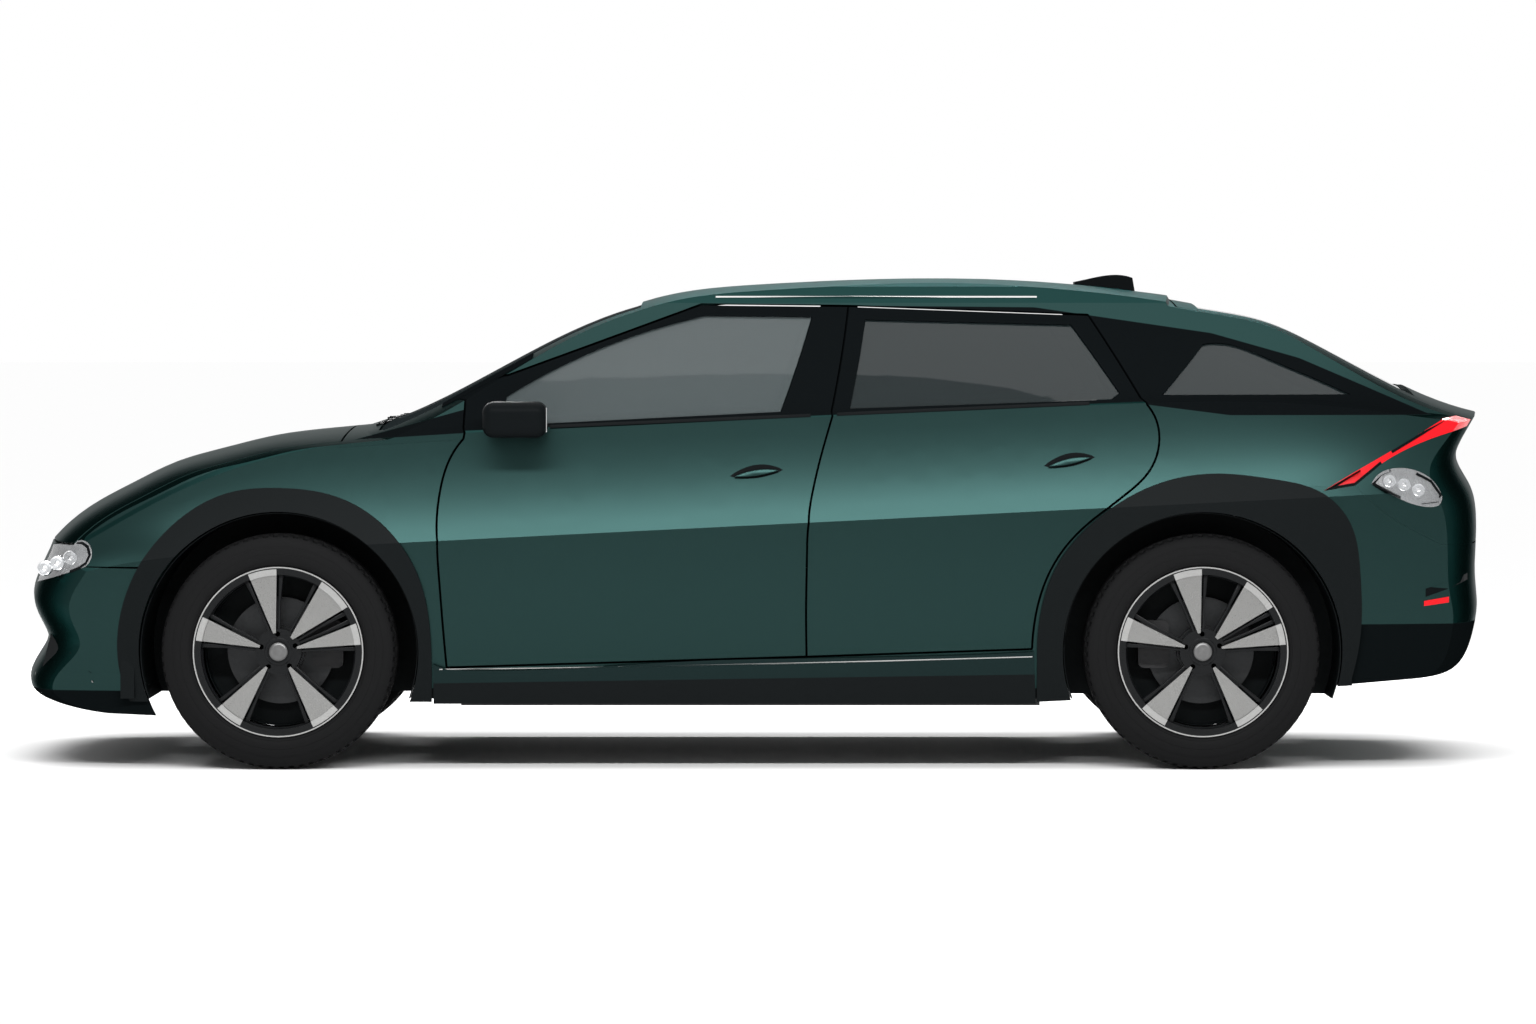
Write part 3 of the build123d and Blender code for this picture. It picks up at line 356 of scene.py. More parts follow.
def rimFinish():
    # the blades' outer faces are machined, the rest of the rim is black
    material, nodes, links = newMaterial("rimTwoTone")
    shader = shaderOf(material)
    coords = nodes.new("ShaderNodeTexCoord")
    split = nodes.new("ShaderNodeSeparateXYZ")
    links.new(coords.outputs["Object"], split.inputs[0])
    away = mathNode(material.node_tree, "ABSOLUTE", split.outputs["Y"])
    face = mathNode(material.node_tree, "GREATER_THAN", away, 0.9025)
    flange = mathNode(material.node_tree, "LESS_THAN", away, 0.9060)
    outer = mathNode(material.node_tree, "MULTIPLY", face, flange)
    black = placeMottle(material, (0.0050, 0.0055, 0.0060), 300.0, 0.2, 0.30)
    bright = placeMottle(material, (0.23, 0.23, 0.225), 250.0, 0.12, 0.34)
    setSockets(shader, {"Specular IOR Level": 0.12})
    colour = nodes.new("ShaderNodeMix")
    colour.data_type = "RGBA"
    links.new(outer, colour.inputs[0])
    links.new(black.outputs["Color"], colour.inputs[6])
    links.new(bright.outputs["Color"], colour.inputs[7])
    links.new(colour.outputs[2], shader.inputs["Base Color"])
    links.new(outer, shader.inputs["Metallic"])
    links.new(black.outputs["Roughness"], shader.inputs["Roughness"])
    return material


rimTwoTone = rimFinish()

# sill band: above the line the body paint is made darker, painted shade on the low strip;
# dark trim lies below it
sillPaintedShadeLook = dict(paintLook, color=(0.010, 0.019, 0.019), roughness=0.42)
shadedSillPaint = twoFinish("shadedSillPaint", sillPaintedShadeLook, trimLook, [[(0.015, 0.286, True)]])

nodeFinishes = {
    paint: ["bonnet", "tailgate", "front_wings"],
    shadedSillPaint: ["sill_trims"],
    screenPane: ["windscreen"],
    structurePaint: ["front_structure"],
    shellPaint: ["body_shell"],
    doorPaint: ["door_front_left", "door_front_right", "door_rear_left",
                "door_rear_right"],
    bumperPaint: ["front_bumper"],
    rearBumperPaint: ["rear_bumper"],
    trim: ["front_arch_trims", "rear_arch_trims", "centre_posts"],
    gloss: ["door_mirror_left", "door_mirror_right", "roof_fin"],
    pane: ["window_front_left", "window_front_right"],
    darkPane: ["window_rear_left", "window_rear_right", "quarter_windows",
               "rear_window"],
    lens: ["headlamps", "reversing_lamps"],
    redLens: ["tail_lamps"],
    chassisPaint: ["battery_pack", "front_subframe", "rear_subframe",
                   "front_door_hinges"],
    bufferRubber: ["lid_buffers"],
    castAlloy: ["front_drive_unit", "rear_drive_unit"],
    carrierIron: ["rear_hub_carriers", "hub_carrier_front_left",
                  "hub_carrier_front_right"],
    seatCloth: ["front_seats", "rear_bench"],
    moulding: ["dashboard", "front_tray"],
    wheelLeather: ["steering_wheel"],
}
corners = [(place, side) for place in ("front", "rear") for side in ("left", "right")]
for place, side in corners:
    nodeFinishes.setdefault(tyreRubber, []).append(f"tyre_{place}_{side}")
    nodeFinishes.setdefault(rimTwoTone, []).append(f"rim_{place}_{side}")
    nodeFinishes.setdefault(brakeIron, []).append(f"brake_disc_{place}_{side}")


def dressNode(node, material):
    mesh = frame["nodes"][node].data
    mesh.materials.clear()
    mesh.materials.append(material)


for material, names in nodeFinishes.items():
    for name in names:
        dressNode(name, material)
print("finishes set")


# helpers for the pieces

def freshStart():
    if bpy.context.object and bpy.context.object.mode != "OBJECT":
        bpy.ops.object.mode_set(mode="OBJECT")
    bpy.ops.object.select_all(action="DESELECT")


def onlyThis(piece):
    freshStart()
    piece.select_set(True)
    bpy.context.view_layer.objects.active = piece


def applyPlace(piece):
    onlyThis(piece)
    bpy.ops.object.transform_apply(location=True, rotation=True, scale=True)


def finishPiece(piece, name, material, body, smooth=None):
    applyPlace(piece)
    piece.name = name
    piece.data.name = name
    piece.data.materials.clear()
    piece.data.materials.append(material)
    if smooth:
        onlyThis(piece)
        bpy.ops.object.shade_smooth_by_angle(angle=math.radians(smooth))
    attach(piece, body)
    return piece


def roundEdges(piece, width, segments=2, limit=30):
    onlyThis(piece)
    bevel = piece.modifiers.new("roundEdges", "BEVEL")
    bevel.width = width
    bevel.segments = segments
    bevel.limit_method = "ANGLE"
    bevel.angle_limit = math.radians(limit)
    bpy.ops.object.modifier_apply(modifier=bevel.name)


def outlineFace(points):
    # a flat face in the side view, its corners at the points (x, z), at y = 0
    freshStart()
    bpy.ops.mesh.primitive_circle_add(vertices=len(points), radius=1, fill_type="NGON")
    piece = bpy.context.object
    for vertex, (x, z) in zip(piece.data.vertices, points):
        vertex.co = (x, 0, z)
    return piece


def extrudeAll(piece, move):
    onlyThis(piece)
    bpy.ops.object.mode_set(mode="EDIT")
    bpy.ops.mesh.select_all(action="SELECT")
    bpy.ops.mesh.extrude_region_move(TRANSFORM_OT_translate={"value": move})
    bpy.ops.mesh.select_all(action="SELECT")
    bpy.ops.mesh.normals_make_consistent(inside=False)
    bpy.ops.object.mode_set(mode="OBJECT")


def slab(points, outY, inY):
    # a flat plate in the side view between two places across the car
    piece = outlineFace(points)
    for vertex in piece.data.vertices:
        vertex.co.y = outY
    extrudeAll(piece, (0, inY - outY, 0))
    return piece


def turned(points, centre, steps=64):
    # a closed profile of (y, radius) points spun round the axle
    freshStart()
    bpy.ops.mesh.primitive_circle_add(vertices=len(points), radius=1, fill_type="NOTHING")
    piece = bpy.context.object
    for vertex, (y, radius) in zip(piece.data.vertices, points):
        vertex.co = (centre[0], y, centre[2] + radius)
    bpy.ops.object.mode_set(mode="EDIT")
    bpy.ops.mesh.select_all(action="SELECT")
    bpy.ops.mesh.spin(steps=steps, angle=math.tau, center=centre, axis=(0, 1, 0))
    bpy.ops.mesh.select_all(action="SELECT")
    bpy.ops.mesh.remove_doubles(threshold=0.00005)
    bpy.ops.mesh.normals_make_consistent(inside=False)
    bpy.ops.object.mode_set(mode="OBJECT")
    return piece


def box(low, high, width=None, segments=2):
    freshStart()
    middle = [(a + b) / 2 for a, b in zip(low, high)]
    bpy.ops.mesh.primitive_cube_add(size=1, location=middle)
    piece = bpy.context.object
    piece.scale = [b - a for a, b in zip(low, high)]
    applyPlace(piece)
    if width:
        roundEdges(piece, width, segments)
    return piece


def join(pieces):
    freshStart()
    for piece in pieces:
        piece.select_set(True)
    bpy.context.view_layer.objects.active = pieces[0]
    bpy.ops.object.join()
    return bpy.context.object


def copyTo(piece, name, body, matrix):
    copied = piece.copy()
    copied.data = piece.data.copy()
    bpy.context.collection.objects.link(copied)
    copied.data.transform(matrix)
    if matrix.determinant() < 0:
        copied.data.flip_normals()
    copied.parent = None
    copied.matrix_world = Matrix.Identity(4)
    copied.name = name
    copied.data.name = name
    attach(copied, body)
    return copied


mirrorY = Matrix.Scale(-1, 4, (0, 1, 0))


# tyres: grooved tread, shoulder blocks and sidewall rings

tyreShape = {
    "halfWidth": 0.1175,
    "radius": 0.37,
    "bead": car["rimRadius"] - 0.011,
    "flange": car["rimRadius"] + 0.0003,
    "groove": 0.008,
}


def tyreProfile(y):
    half, top = tyreShape["halfWidth"], tyreShape["radius"]
    deep = top - tyreShape["groove"]
    rim = tyreShape["flange"]
    crown = [
        (half - 0.018, tyreShape["bead"]), (half - 0.018, rim),
        (half - 0.010, rim + 0.0022), (half - 0.0052, rim + 0.0062),
        (half - 0.0028, rim + 0.0100), (half - 0.0038, rim + 0.0112),
        (half - 0.0018, rim + 0.0150), (half, 0.2940),
        (half - 0.0002, 0.3050), (half - 0.0012, 0.3062), (half - 0.0008, 0.3160),
        (half - 0.0030, 0.3290), (half - 0.0045, 0.3292), (half - 0.0062, 0.3400),
        (half - 0.0110, 0.3530), (half - 0.0160, 0.3600), (half - 0.0240, 0.3650),
        (half - 0.0340, 0.3672),
        (0.0700, 0.3682), (0.0690, deep), (0.0600, deep), (0.0590, 0.3690),
        (0.0320, top - 0.0003), (0.0310, deep), (0.0220, deep), (0.0210, top - 0.0002),
    ]
    other = [(-a, b) for a, b in reversed(crown)]
    return [(y + a, b) for a, b in crown + other]


def makeTyre(place, side):
    across = car["wheelY"] * (-1 if side == "left" else 1)
    centre = (car["frontAxle"] if place == "front" else car["rearAxle"], across,
              car["axleZ"])
    return turned(tyreProfile(across), centre, 144), centre


def shoulderCuts(place, side, tyre, centre):
    # short cross grooves cut into the outer ribs of the tread
    onlyThis(tyre)
    bpy.ops.object.mode_set(mode="EDIT")
    bpy.ops.mesh.select_mode(type="FACE")
    bpy.ops.mesh.select_all(action="DESELECT")
    bpy.ops.object.mode_set(mode="OBJECT")
    for face in tyre.data.polygons:
        away = face.center - Vector(centre)
        across = abs(away.y)
        radius = math.hypot(away.x, away.z)
        step = int((math.degrees(math.atan2(away.z, away.x)) % 360) / 2.5)
        shoulder = 0.070 < across < 0.1005 and radius > 0.362 and step % 2 == 0
        rib = 0.033 < across < 0.058 and radius > 0.365 and step % 3 == 0
        face.select = shoulder or rib
    bpy.ops.object.mode_set(mode="EDIT")
    bpy.ops.mesh.inset(thickness=0.0012, depth=-0.005)
    bpy.ops.object.mode_set(mode="OBJECT")


for place, side in corners:
    name = f"{place}_{side}"
    tyre, centre = makeTyre(place, side)
    shoulderCuts(place, side, tyre, centre)
    finishPiece(tyre, f"tread_tyre_{name}", tyreRubber, f"wheel_{name}", 35)
    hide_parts(f"tyre_{name}")
print("tyres done")


# rims: dark flanks beside the blades, hub nuts, cap and bright lip

rimShape = {
    "bladeAngles": [(12.7, 7.5), (45.5, 12.5), (101, 10), (163.5, 8.5), (232.7, 9.8),
                    (305.5, 10.5)],
    "nuts": 5,
    "nutCircle": 0.056,
    "faceY": -0.9035,
    "flankDepth": 0.034,
    "lipY": (-0.9104, -0.9085),
    "lipRing": (0.2635, 0.2675),
    "tipReach": (0.2405, 0.2600),
}


def wheelPoint(radius, angle, y, axle="frontAxle"):
    turn = math.radians(angle)
    return (car[axle] + radius * math.cos(turn), y, car["axleZ"] + radius * math.sin(turn))


def flankPiece(angle, halfAngle, side):
    # a dark rib that runs from the hub to the barrel beside a blade
    edge = angle + side * (halfAngle + 1.5)
    root = angle + side * halfAngle * 0.75
    wide = side * 3.2
    corner = [wheelPoint(0.050, root, 0), wheelPoint(0.050, root + wide * 3, 0),
              wheelPoint(0.155, (root + edge) / 2 + wide * 1.3, 0),
              wheelPoint(car["rimRadius"] - 0.021, edge + wide, 0),
              wheelPoint(car["rimRadius"] - 0.021, edge, 0)]
    piece = slab([(x, z) for x, y, z in corner], rimShape["faceY"] + 0.009,
                 rimShape["faceY"] + rimShape["flankDepth"])
    roundEdges(piece, 0.002, 2)
    return piece


def rimDetail():
    pieces = []
    for angle, halfAngle in rimShape["bladeAngles"]:
        for side in (-1, 1):
            pieces.append(flankPiece(angle, halfAngle, side))
    centre = (car["frontAxle"], 0, car["axleZ"])
    hubY = rimShape["faceY"] + 0.006
    pieces.append(turned([(hubY + 0.03, 0.045), (hubY + 0.002, 0.045),
                          (hubY - 0.001, 0.041), (hubY - 0.001, 0.034),
                          (hubY + 0.004, 0.032), (hubY + 0.03, 0.032)], centre, 48))
    barrel = car["rimRadius"] - 0.016
    pieces.append(turned([(hubY + 0.07, barrel), (hubY + 0.012, barrel - 0.002),
                          (hubY + 0.010, barrel - 0.010), (hubY + 0.016, barrel - 0.015),
                          (hubY + 0.022, barrel - 0.011), (hubY + 0.07, barrel - 0.008)],
                         centre, 96))
    for index in range(rimShape["nuts"]):
        x, y, z = wheelPoint(rimShape["nutCircle"], 72 * index + 20, 0)
        freshStart()
        bpy.ops.mesh.primitive_cylinder_add(
            vertices=6, radius=0.0105, depth=0.02, location=(x, hubY + 0.012, z),
            rotation=(math.pi / 2, 0, 0))
        nut = bpy.context.object
        applyPlace(nut)
        roundEdges(nut, 0.0015, 2)
        pieces.append(nut)
    return join(pieces)


def capPiece():
    hubY = rimShape["faceY"]
    centre = (car["frontAxle"], 0, car["axleZ"])
    dome = [(hubY + 0.02, 0.0), (hubY + 0.02, 0.029), (hubY + 0.004, 0.029),
            (hubY + 0.001, 0.026), (hubY - 0.0005, 0.020), (hubY + 0.0005, 0.017),
            (hubY - 0.0015, 0.010), (hubY - 0.002, 0.0)]
    return turned(dome, centre, 40)


def lipPiece():
    # a bright lip on the flange, and the blades' ends across the flange
    frontY, backY = rimShape["lipY"]
    centre = (car["frontAxle"], 0, car["axleZ"])
    inner, outer = rimShape["lipRing"]
    pieces = [turned([(frontY, outer), (frontY, inner), (backY, inner), (backY, outer)],
                     centre, 96)]
    start, end = rimShape["tipReach"]
    for angle, halfAngle in rimShape["bladeAngles"]:
        turns = [angle - halfAngle + 2 * halfAngle * step / 6 for step in range(7)]
        corner = [wheelPoint(start, turn, 0) for turn in turns]
        corner += [wheelPoint(end, turn, 0) for turn in reversed(turns)]
        pieces.append(slab([(x, z) for x, y, z in corner], frontY, backY))
    return join(pieces)


def wheelMoves(place, side):
    shift = car["frontAxle"] if place == "front" else car["rearAxle"]
    matrix = Matrix.Translation((shift - car["frontAxle"], 0, 0))
    return (mirrorY @ matrix) if side == "right" else matrix


wheelPieces = {
    "rim_flanks": (rimDetail, rimBlack, 30),
    "hub_cap": (capPiece, capAlloy, 40),
    "rim_lip": (lipPiece, bladeAlloy, 30),
}
for label, (make, material, angle) in wheelPieces.items():
    first = finishPiece(make(), f"{label}_front_left", material, "wheel_front_left",
                        angle)
    for place, side in corners[1:]:
        copyTo(first, f"{label}_{place}_{side}", f"wheel_{place}_{side}",
               wheelMoves(place, side))
print("wheels done")


# wheel houses: a dark liner in each, with an inner wall and feet behind the trims

linerShape = {"radius": 0.436, "sheet": 0.003, "outerY": -0.872, "lowTurn": -20}
linerWall = {"front": -0.474, "rear": -0.606}
linerFoot = {"front": [(-0.498, -0.455), (0.455, 0.500)], "rear": [(-0.555, -0.455)]}


def archLiner(place):
    centreX = car["frontAxle"] if place == "front" else car["rearAxle"]
    radius, sheet = linerShape["radius"], linerShape["sheet"]
    steps = 44
    low = math.radians(linerShape["lowTurn"])
    outer, inner = [], []
    for index in range(steps + 1):
        turn = low + (math.pi - 2 * low) * index / steps
        for ring, reach in ((outer, radius), (inner, radius - sheet)):
            ring.append((centreX + reach * math.cos(turn),
                         car["axleZ"] + reach * math.sin(turn)))
    pieces = []
    for index in range(steps):
        corners = [outer[index], outer[index + 1], inner[index + 1], inner[index]]
        pieces.append(slab(corners, linerShape["outerY"], linerWall[place]))
    pieces.append(slab(inner, linerWall[place] - sheet, linerWall[place]))
    for start, end in linerFoot[place]:
        pieces.append(box((centreX + start, linerShape["outerY"] - 0.004, 0.222),
                          (centreX + end, linerShape["outerY"] + 0.006, 0.360)))
    liner = join(pieces)
    onlyThis(liner)
    bpy.ops.object.mode_set(mode="EDIT")
    bpy.ops.mesh.select_all(action="SELECT")
    bpy.ops.mesh.remove_doubles(threshold=0.0001)
    bpy.ops.object.mode_set(mode="OBJECT")
    return liner


for place in ("front", "rear"):
    liner = finishPiece(archLiner(place), f"wheel_liner_{place}_left", trim, "body",
                        smooth=30)
    copyTo(liner, f"wheel_liner_{place}_right", "body", mirrorY)


# brakes: a dust shield behind each disc

shieldShape = {"inboard": 0.038, "sheet": 0.002, "hole": 0.075, "radius": 0.236,
               "flange": 0.060}


def brakeShield():
    y = shieldShape["inboard"] - car["wheelY"]
    edge, flange = y + shieldShape["sheet"], y - shieldShape["flange"]
    hole, radius = shieldShape["hole"], shieldShape["radius"]
    inner = radius - shieldShape["sheet"]
    return turned([(y, hole), (edge, hole), (edge, radius), (flange, radius),
                   (flange, inner), (y, inner)], (car["frontAxle"], 0, car["axleZ"]), 72)


shield = finishPiece(brakeShield(), "brake_shield_front_left", trim, "hub_carrier_left",
                     smooth=35)
for place, side in corners[1:]:
    carrier = f"hub_carrier_{side}" if place == "front" else "body"
    copyTo(shield, f"brake_shield_{place}_{side}", carrier, wheelMoves(place, side))
print("wheel houses done")


# screen pillars: a dark cover at the foot of each, beside the windscreen

pillarShape = {"x": (-0.985, -0.700), "outerY": -0.727, "drop": -0.003, "sheet": 0.006}
screenLine = [(-1.253, 1.070), (-1.017, 1.165), (-0.702, 1.332), (-0.387, 1.463)]


def screenHeight(x, y):
    # the height of the body's top over the screen, lower and further back to the side
    share = abs(y) / 0.930
    along = x / (1 - (0.110 * share ** 2 + 0.180 * share ** 8) / 2.35)
    for (x0, z0), (x1, z1) in zip(screenLine, screenLine[1:]):
        if along <= x1:
            break
    height = z0 + (z1 - z0) * (along - x0) / (x1 - x0)
    return height * (1 - 0.035 * (y / 0.9) ** 2)


def pillarCover():
    low, high = pillarShape["x"]
    freshStart()
    bpy.ops.mesh.primitive_grid_add(x_subdivisions=16, y_subdivisions=6, size=2)
    piece = bpy.context.object
    for vertex in piece.data.vertices:
        x = low + (high - low) * (vertex.co.x + 1) / 2
        edge = -(0.6915 - (x + 1.19) * 0.1747)
        y = edge + (pillarShape["outerY"] - edge) * (vertex.co.y + 1) / 2
        vertex.co = (x, y, screenHeight(x, y) - pillarShape["drop"])
    extrudeAll(piece, (0, 0, -pillarShape["sheet"]))
    return piece


cover = finishPiece(pillarCover(), "pillar_cover_left", screenEdge, "body", smooth=40)
copyTo(cover, "pillar_cover_right", "body", mirrorY)


# door handles: a flat dark eye shape, painted shade for the handle's pocket, with a
# body-coloured blade

handleShape = {
    "front": {"x": (-0.073, 0.093), "z": (0.921, 0.941)},
    "rear": {"x": (0.911, 1.071), "z": (0.953, 0.981)},
    "height": 0.042,
}


def skinAt(x, z, side=-1):
    # where the body's side is hit by a level ray across the car
    depsgraph = bpy.context.evaluated_depsgraph_get()
    hit, place, normal, *_ = bpy.context.scene.ray_cast(
        depsgraph, Vector((x, side * 1.3, z)), Vector((0, -side, 0)))
    return place.y if hit else side * 0.9


def eyeOutline(low, high, height, count=14):
    # a lens shape between two ends
    upper, lower = [], []
    for index in range(count + 1):
        share = index / count
        x = low[0] + (high[0] - low[0]) * share
        z = low[1] + (high[1] - low[1]) * share
        swell = math.sin(math.pi * share) ** 0.8 * height
        upper.append((x, z + swell * 0.62))
        lower.append((x, z - swell * 0.38))
    return upper + lower[-2:0:-1]


def followSkin(piece, lift):
    # every corner moves across the car to lie on the body's side
    for vertex in piece.data.vertices:
        vertex.co.y = skinAt(vertex.co.x, vertex.co.z) - lift


def skinSheet(points, lift, depth):
    # a sheet inside an outline, laid on the body's side and made thick
    piece = outlineFace(points)
    piece.hide_set(True)
    followSkin(piece, lift)
    piece.hide_set(False)
    extrudeAll(piece, (0, depth, 0))
    return piece


def deleteMisses(piece, limit):
    # faces go where a corner found no skin, or skin that turns away across the car
    onlyThis(piece)
    bpy.ops.object.mode_set(mode="EDIT")
    bpy.ops.mesh.select_mode(type="FACE")
    bpy.ops.mesh.select_all(action="DESELECT")
    bpy.ops.object.mode_set(mode="OBJECT")
    for face in piece.data.polygons:
        depths = [piece.data.vertices[index].co.y for index in face.vertices]
        face.select = max(depths) - min(depths) > limit or max(depths) > -0.5
    bpy.ops.object.mode_set(mode="EDIT")
    bpy.ops.mesh.delete(type="FACE")
    bpy.ops.object.mode_set(mode="OBJECT")


# painted shade: a flat dark sheet laid on the skin where the pocket's hollow would be
def handlePocketShade(door):
    shape = handleShape[door]
    points = eyeOutline((shape["x"][0], shape["z"][0]), (shape["x"][1], shape["z"][1]),
                        handleShape["height"])
    piece = outlineFace(points)
    piece.hide_set(True)
    followSkin(piece, 0.0006)
    piece.hide_set(False)
    onlyThis(piece)
    bpy.ops.object.mode_set(mode="EDIT")
    bpy.ops.mesh.select_all(action="SELECT")
    bpy.ops.mesh.inset(thickness=0.0035, depth=0.0)
    bpy.ops.object.mode_set(mode="OBJECT")
    return piece


def handleBlade(door):
    shape = handleShape[door]
    inset = 0.012
    points = eyeOutline((shape["x"][0] + inset, shape["z"][0] - 0.0015),
                        (shape["x"][1] - inset, shape["z"][1] - 0.0015), 0.019)
    piece = skinSheet(points, 0.0035, -0.010)
    roundEdges(piece, 0.003, 3)
    return piece


for door in ("front", "rear"):
    body = f"{door}_door_left"
    other = f"{door}_door_right"
    pocketShade = finishPiece(handlePocketShade(door), f"handle_pocket_shade_{door}_left", gloss, body)
    blade = finishPiece(handleBlade(door), f"handle_blade_{door}_left", paint, body,
                        smooth=40)
    copyTo(pocketShade, f"handle_pocket_shade_{door}_right", other, mirrorY)
    copyTo(blade, f"handle_blade_{door}_right", other, mirrorY)
print("handles done")


# lamps: reflector bowls and bright modules behind the lenses

headlampShape = {
    "modules": [(-2.235, 0.628), (-2.196, 0.643), (-2.155, 0.660)],
    "radius": 0.021,
    "y": -0.792,
}
reversingShape = {
    "modules": [(2.000, 0.905), (2.046, 0.893), (2.092, 0.876)],
    "radius": 0.020,
    "y": -0.842,
}


def lampModules(shape):
    # a row of stepped bright cups
    pieces = []
    for index, (x, z) in enumerate(shape["modules"]):
        depth = shape["y"] + 0.006 * index
        radius = shape["radius"]
        cup = turned([(depth, radius), (depth + 0.004, radius + 0.003),
                      (depth + 0.026, radius + 0.003), (depth + 0.026, 0.0),
                      (depth + 0.020, 0.0), (depth + 0.016, radius * 0.5),
                      (depth + 0.006, radius * 0.86)], (x, 0, z), 24)
        pieces.append(cup)
    return join(pieces)


for label, shape in (("headlamp_modules", headlampShape),
                     ("reversing_modules", reversingShape)):
    row = finishPiece(lampModules(shape), f"{label}_left", chrome, "body", smooth=40)
    copyTo(row, f"{label}_right", "body", mirrorY)


# belt strips: a slim dark bright-edged strip under the windows

beltShape = {
    "front": {"x": (-0.640, 0.180), "body": "front_door_left"},
    "rear": {"x": (0.262, 1.055), "body": "rear_door_left"},
    "height": 0.010,
    "lift": 0.004,
}


def beltHeight(x):
    return car["beltZ"] + 0.036 + car["beltSlope"] * x


def beltStrip(door):
    low, high = beltShape[door]["x"]
    count = 18
    upper = [(low + (high - low) * i / count, 0) for i in range(count + 1)]
    points = [(x, beltHeight(x) + beltShape["height"]) for x, z in upper]
    points += [(x, beltHeight(x)) for x, z in reversed(upper)]
    piece = skinSheet(points, beltShape["lift"], 0.006)
    roundEdges(piece, 0.0012, 2)
    return piece


for door in ("front", "rear"):
    body = beltShape[door]["body"]
    strip = finishPiece(beltStrip(door), f"belt_strip_{door}_left", gloss, body, smooth=30)
    copyTo(strip, f"belt_strip_{door}_right", body.replace("left", "right"), mirrorY)
print("belt strips done")


# cabin: dash screen and seat seams

screenShape = {"low": (-0.735, -0.60, 0.985), "high": (-0.722, -0.05, 1.085)}


finishPiece(box(screenShape["low"], screenShape["high"], 0.006, 3), "dash_screen",
            gloss, "body")


# seats: rows of padded flutes, with seams between them, on the plain cushions

seatShape = {
    "backLow": (0.035, 0.50),
    "backHigh": (0.155, 0.98),
    "cushionLow": (-0.40, 0.484),
}


def seatPads(centreY, shift):
    # padded flutes on the backrest and the cushion
    pieces = []
    for row in range(5):
        share = row / 5
        x = seatShape["backLow"][0] + (seatShape["backHigh"][0]
                                       - seatShape["backLow"][0]) * share + shift
        z = seatShape["backLow"][1] + (seatShape["backHigh"][1]
                                       - seatShape["backLow"][1]) * share
        pieces.append(box((x - 0.045, centreY - 0.15, z),
                          (x + 0.012, centreY + 0.15, z + 0.088), 0.010, 3))
        share = row / 5
        x = seatShape["cushionLow"][0] + 0.31 * share + shift
        pieces.append(box((x, centreY - 0.15, 0.44), (x + 0.058, centreY + 0.15, 0.488),
                          0.010, 3))
    return join(pieces)


seatRows = {
    "front": (0.0, (-0.37, 0.37)),
    "rear": (0.925, (-0.37, 0.37)),
}
for row, (shift, places) in seatRows.items():
    for place in places:
        side = "left" if place < 0 else "right"
        pads = finishPiece(seatPads(place, shift), f"seat_flutes_{row}_{side}", seatCloth,
                           "body", smooth=40)
print("cabin done")


# mirrors: glass on the back of each housing

mirrorShape = {"low": (-0.6445, -1.055, 1.062), "high": (-0.6415, -0.925, 1.138)}
mirrorGlass = finishPiece(box(mirrorShape["low"], mirrorShape["high"], 0.0012, 2),
                          "mirror_glass_left", chrome, "front_door_left")
copyTo(mirrorGlass, "mirror_glass_right", "front_door_right", mirrorY)


# rear corners: a flat dark plate, painted shade standing for a recess, with a red reflector
# whose faint glow is painted light

reflectorShape = {
    "paintedRecessShade": [(2.115, 0.566), (2.262, 0.610), (2.262, 0.590), (2.115, 0.540)],
    "reflector": [(2.110, 0.527), (2.190, 0.540), (2.190, 0.522), (2.110, 0.511)],
}


def skinPlate(points, lift, depth, count=10):
    # a plate bent to the body's side, its long edges cut into short steps
    start, end = points[:2], points[2:]
    upper = [tuple(a + (b - a) * i / count for a, b in zip(*start))
             for i in range(count + 1)]
    lower = [tuple(a + (b - a) * i / count for a, b in zip(*end))
             for i in range(count + 1)]
    return skinSheet(upper + lower, lift, depth)


for label, material, lift in (("paintedRecessShade", gloss, 0.0010), ("reflector", redLens, 0.0022)):
    plate = finishPiece(skinPlate(reflectorShape[label], lift, 0.004),
                        f"rear_{label}_left", material, "body")
    copyTo(plate, f"rear_{label}_right", "body", mirrorY)


# sills: a bright alloy strip along the top of the band, a painted highlight where the
# moulding step catches the light
sillHighlightShape = {"x": (-0.985, 0.875), "low": 0.3135, "high": 0.3535, "height": 0.0035,
                 "lift": 0.0012}


def sillHighlightLine():
    low, high = sillHighlightShape["x"]
    count = 16
    rise = sillHighlightShape["high"] - sillHighlightShape["low"]
    upper = []
    for index in range(count + 1):
        share = index / count
        upper.append((low + (high - low) * share, sillHighlightShape["low"] + rise * share ** 1.4))
    points = [(x, z + sillHighlightShape["height"]) for x, z in upper] + upper[::-1]
    return skinSheet(points, sillHighlightShape["lift"], 0.003)


# the bright strip is a painted highlight, on both sides
line = finishPiece(sillHighlightLine(), "sill_highlight_left", bladeAlloy, "body")
copyTo(line, "sill_highlight_right", "body", mirrorY)

# lamps: a dark gasket round each lens
gasketShape = {
    "headlamp": [(-2.275, 0.578), (-2.230, 0.591), (-2.190, 0.602), (-2.150, 0.615),
                 (-2.115, 0.630), (-2.095, 0.644), (-2.083, 0.672), (-2.092, 0.700),
                 (-2.110, 0.712), (-2.135, 0.714), (-2.170, 0.709), (-2.200, 0.703),
                 (-2.240, 0.695), (-2.275, 0.687)],
    "reversing": [(1.940, 0.896), (1.968, 0.930), (2.000, 0.944), (2.032, 0.946),
                  (2.085, 0.932), (2.132, 0.908), (2.166, 0.862), (2.158, 0.832),
                  (2.098, 0.826), (2.028, 0.850)],
    "tail": [(1.789, 0.876), (1.902, 0.942), (2.005, 0.999), (2.100, 1.054),
             (2.175, 1.100), (2.208, 1.106), (2.137, 1.038), (1.974, 0.960),
             (1.889, 0.893)],
    "width": 0.008,
    "lift": 0.0022,
    "limit": 0.05,
}


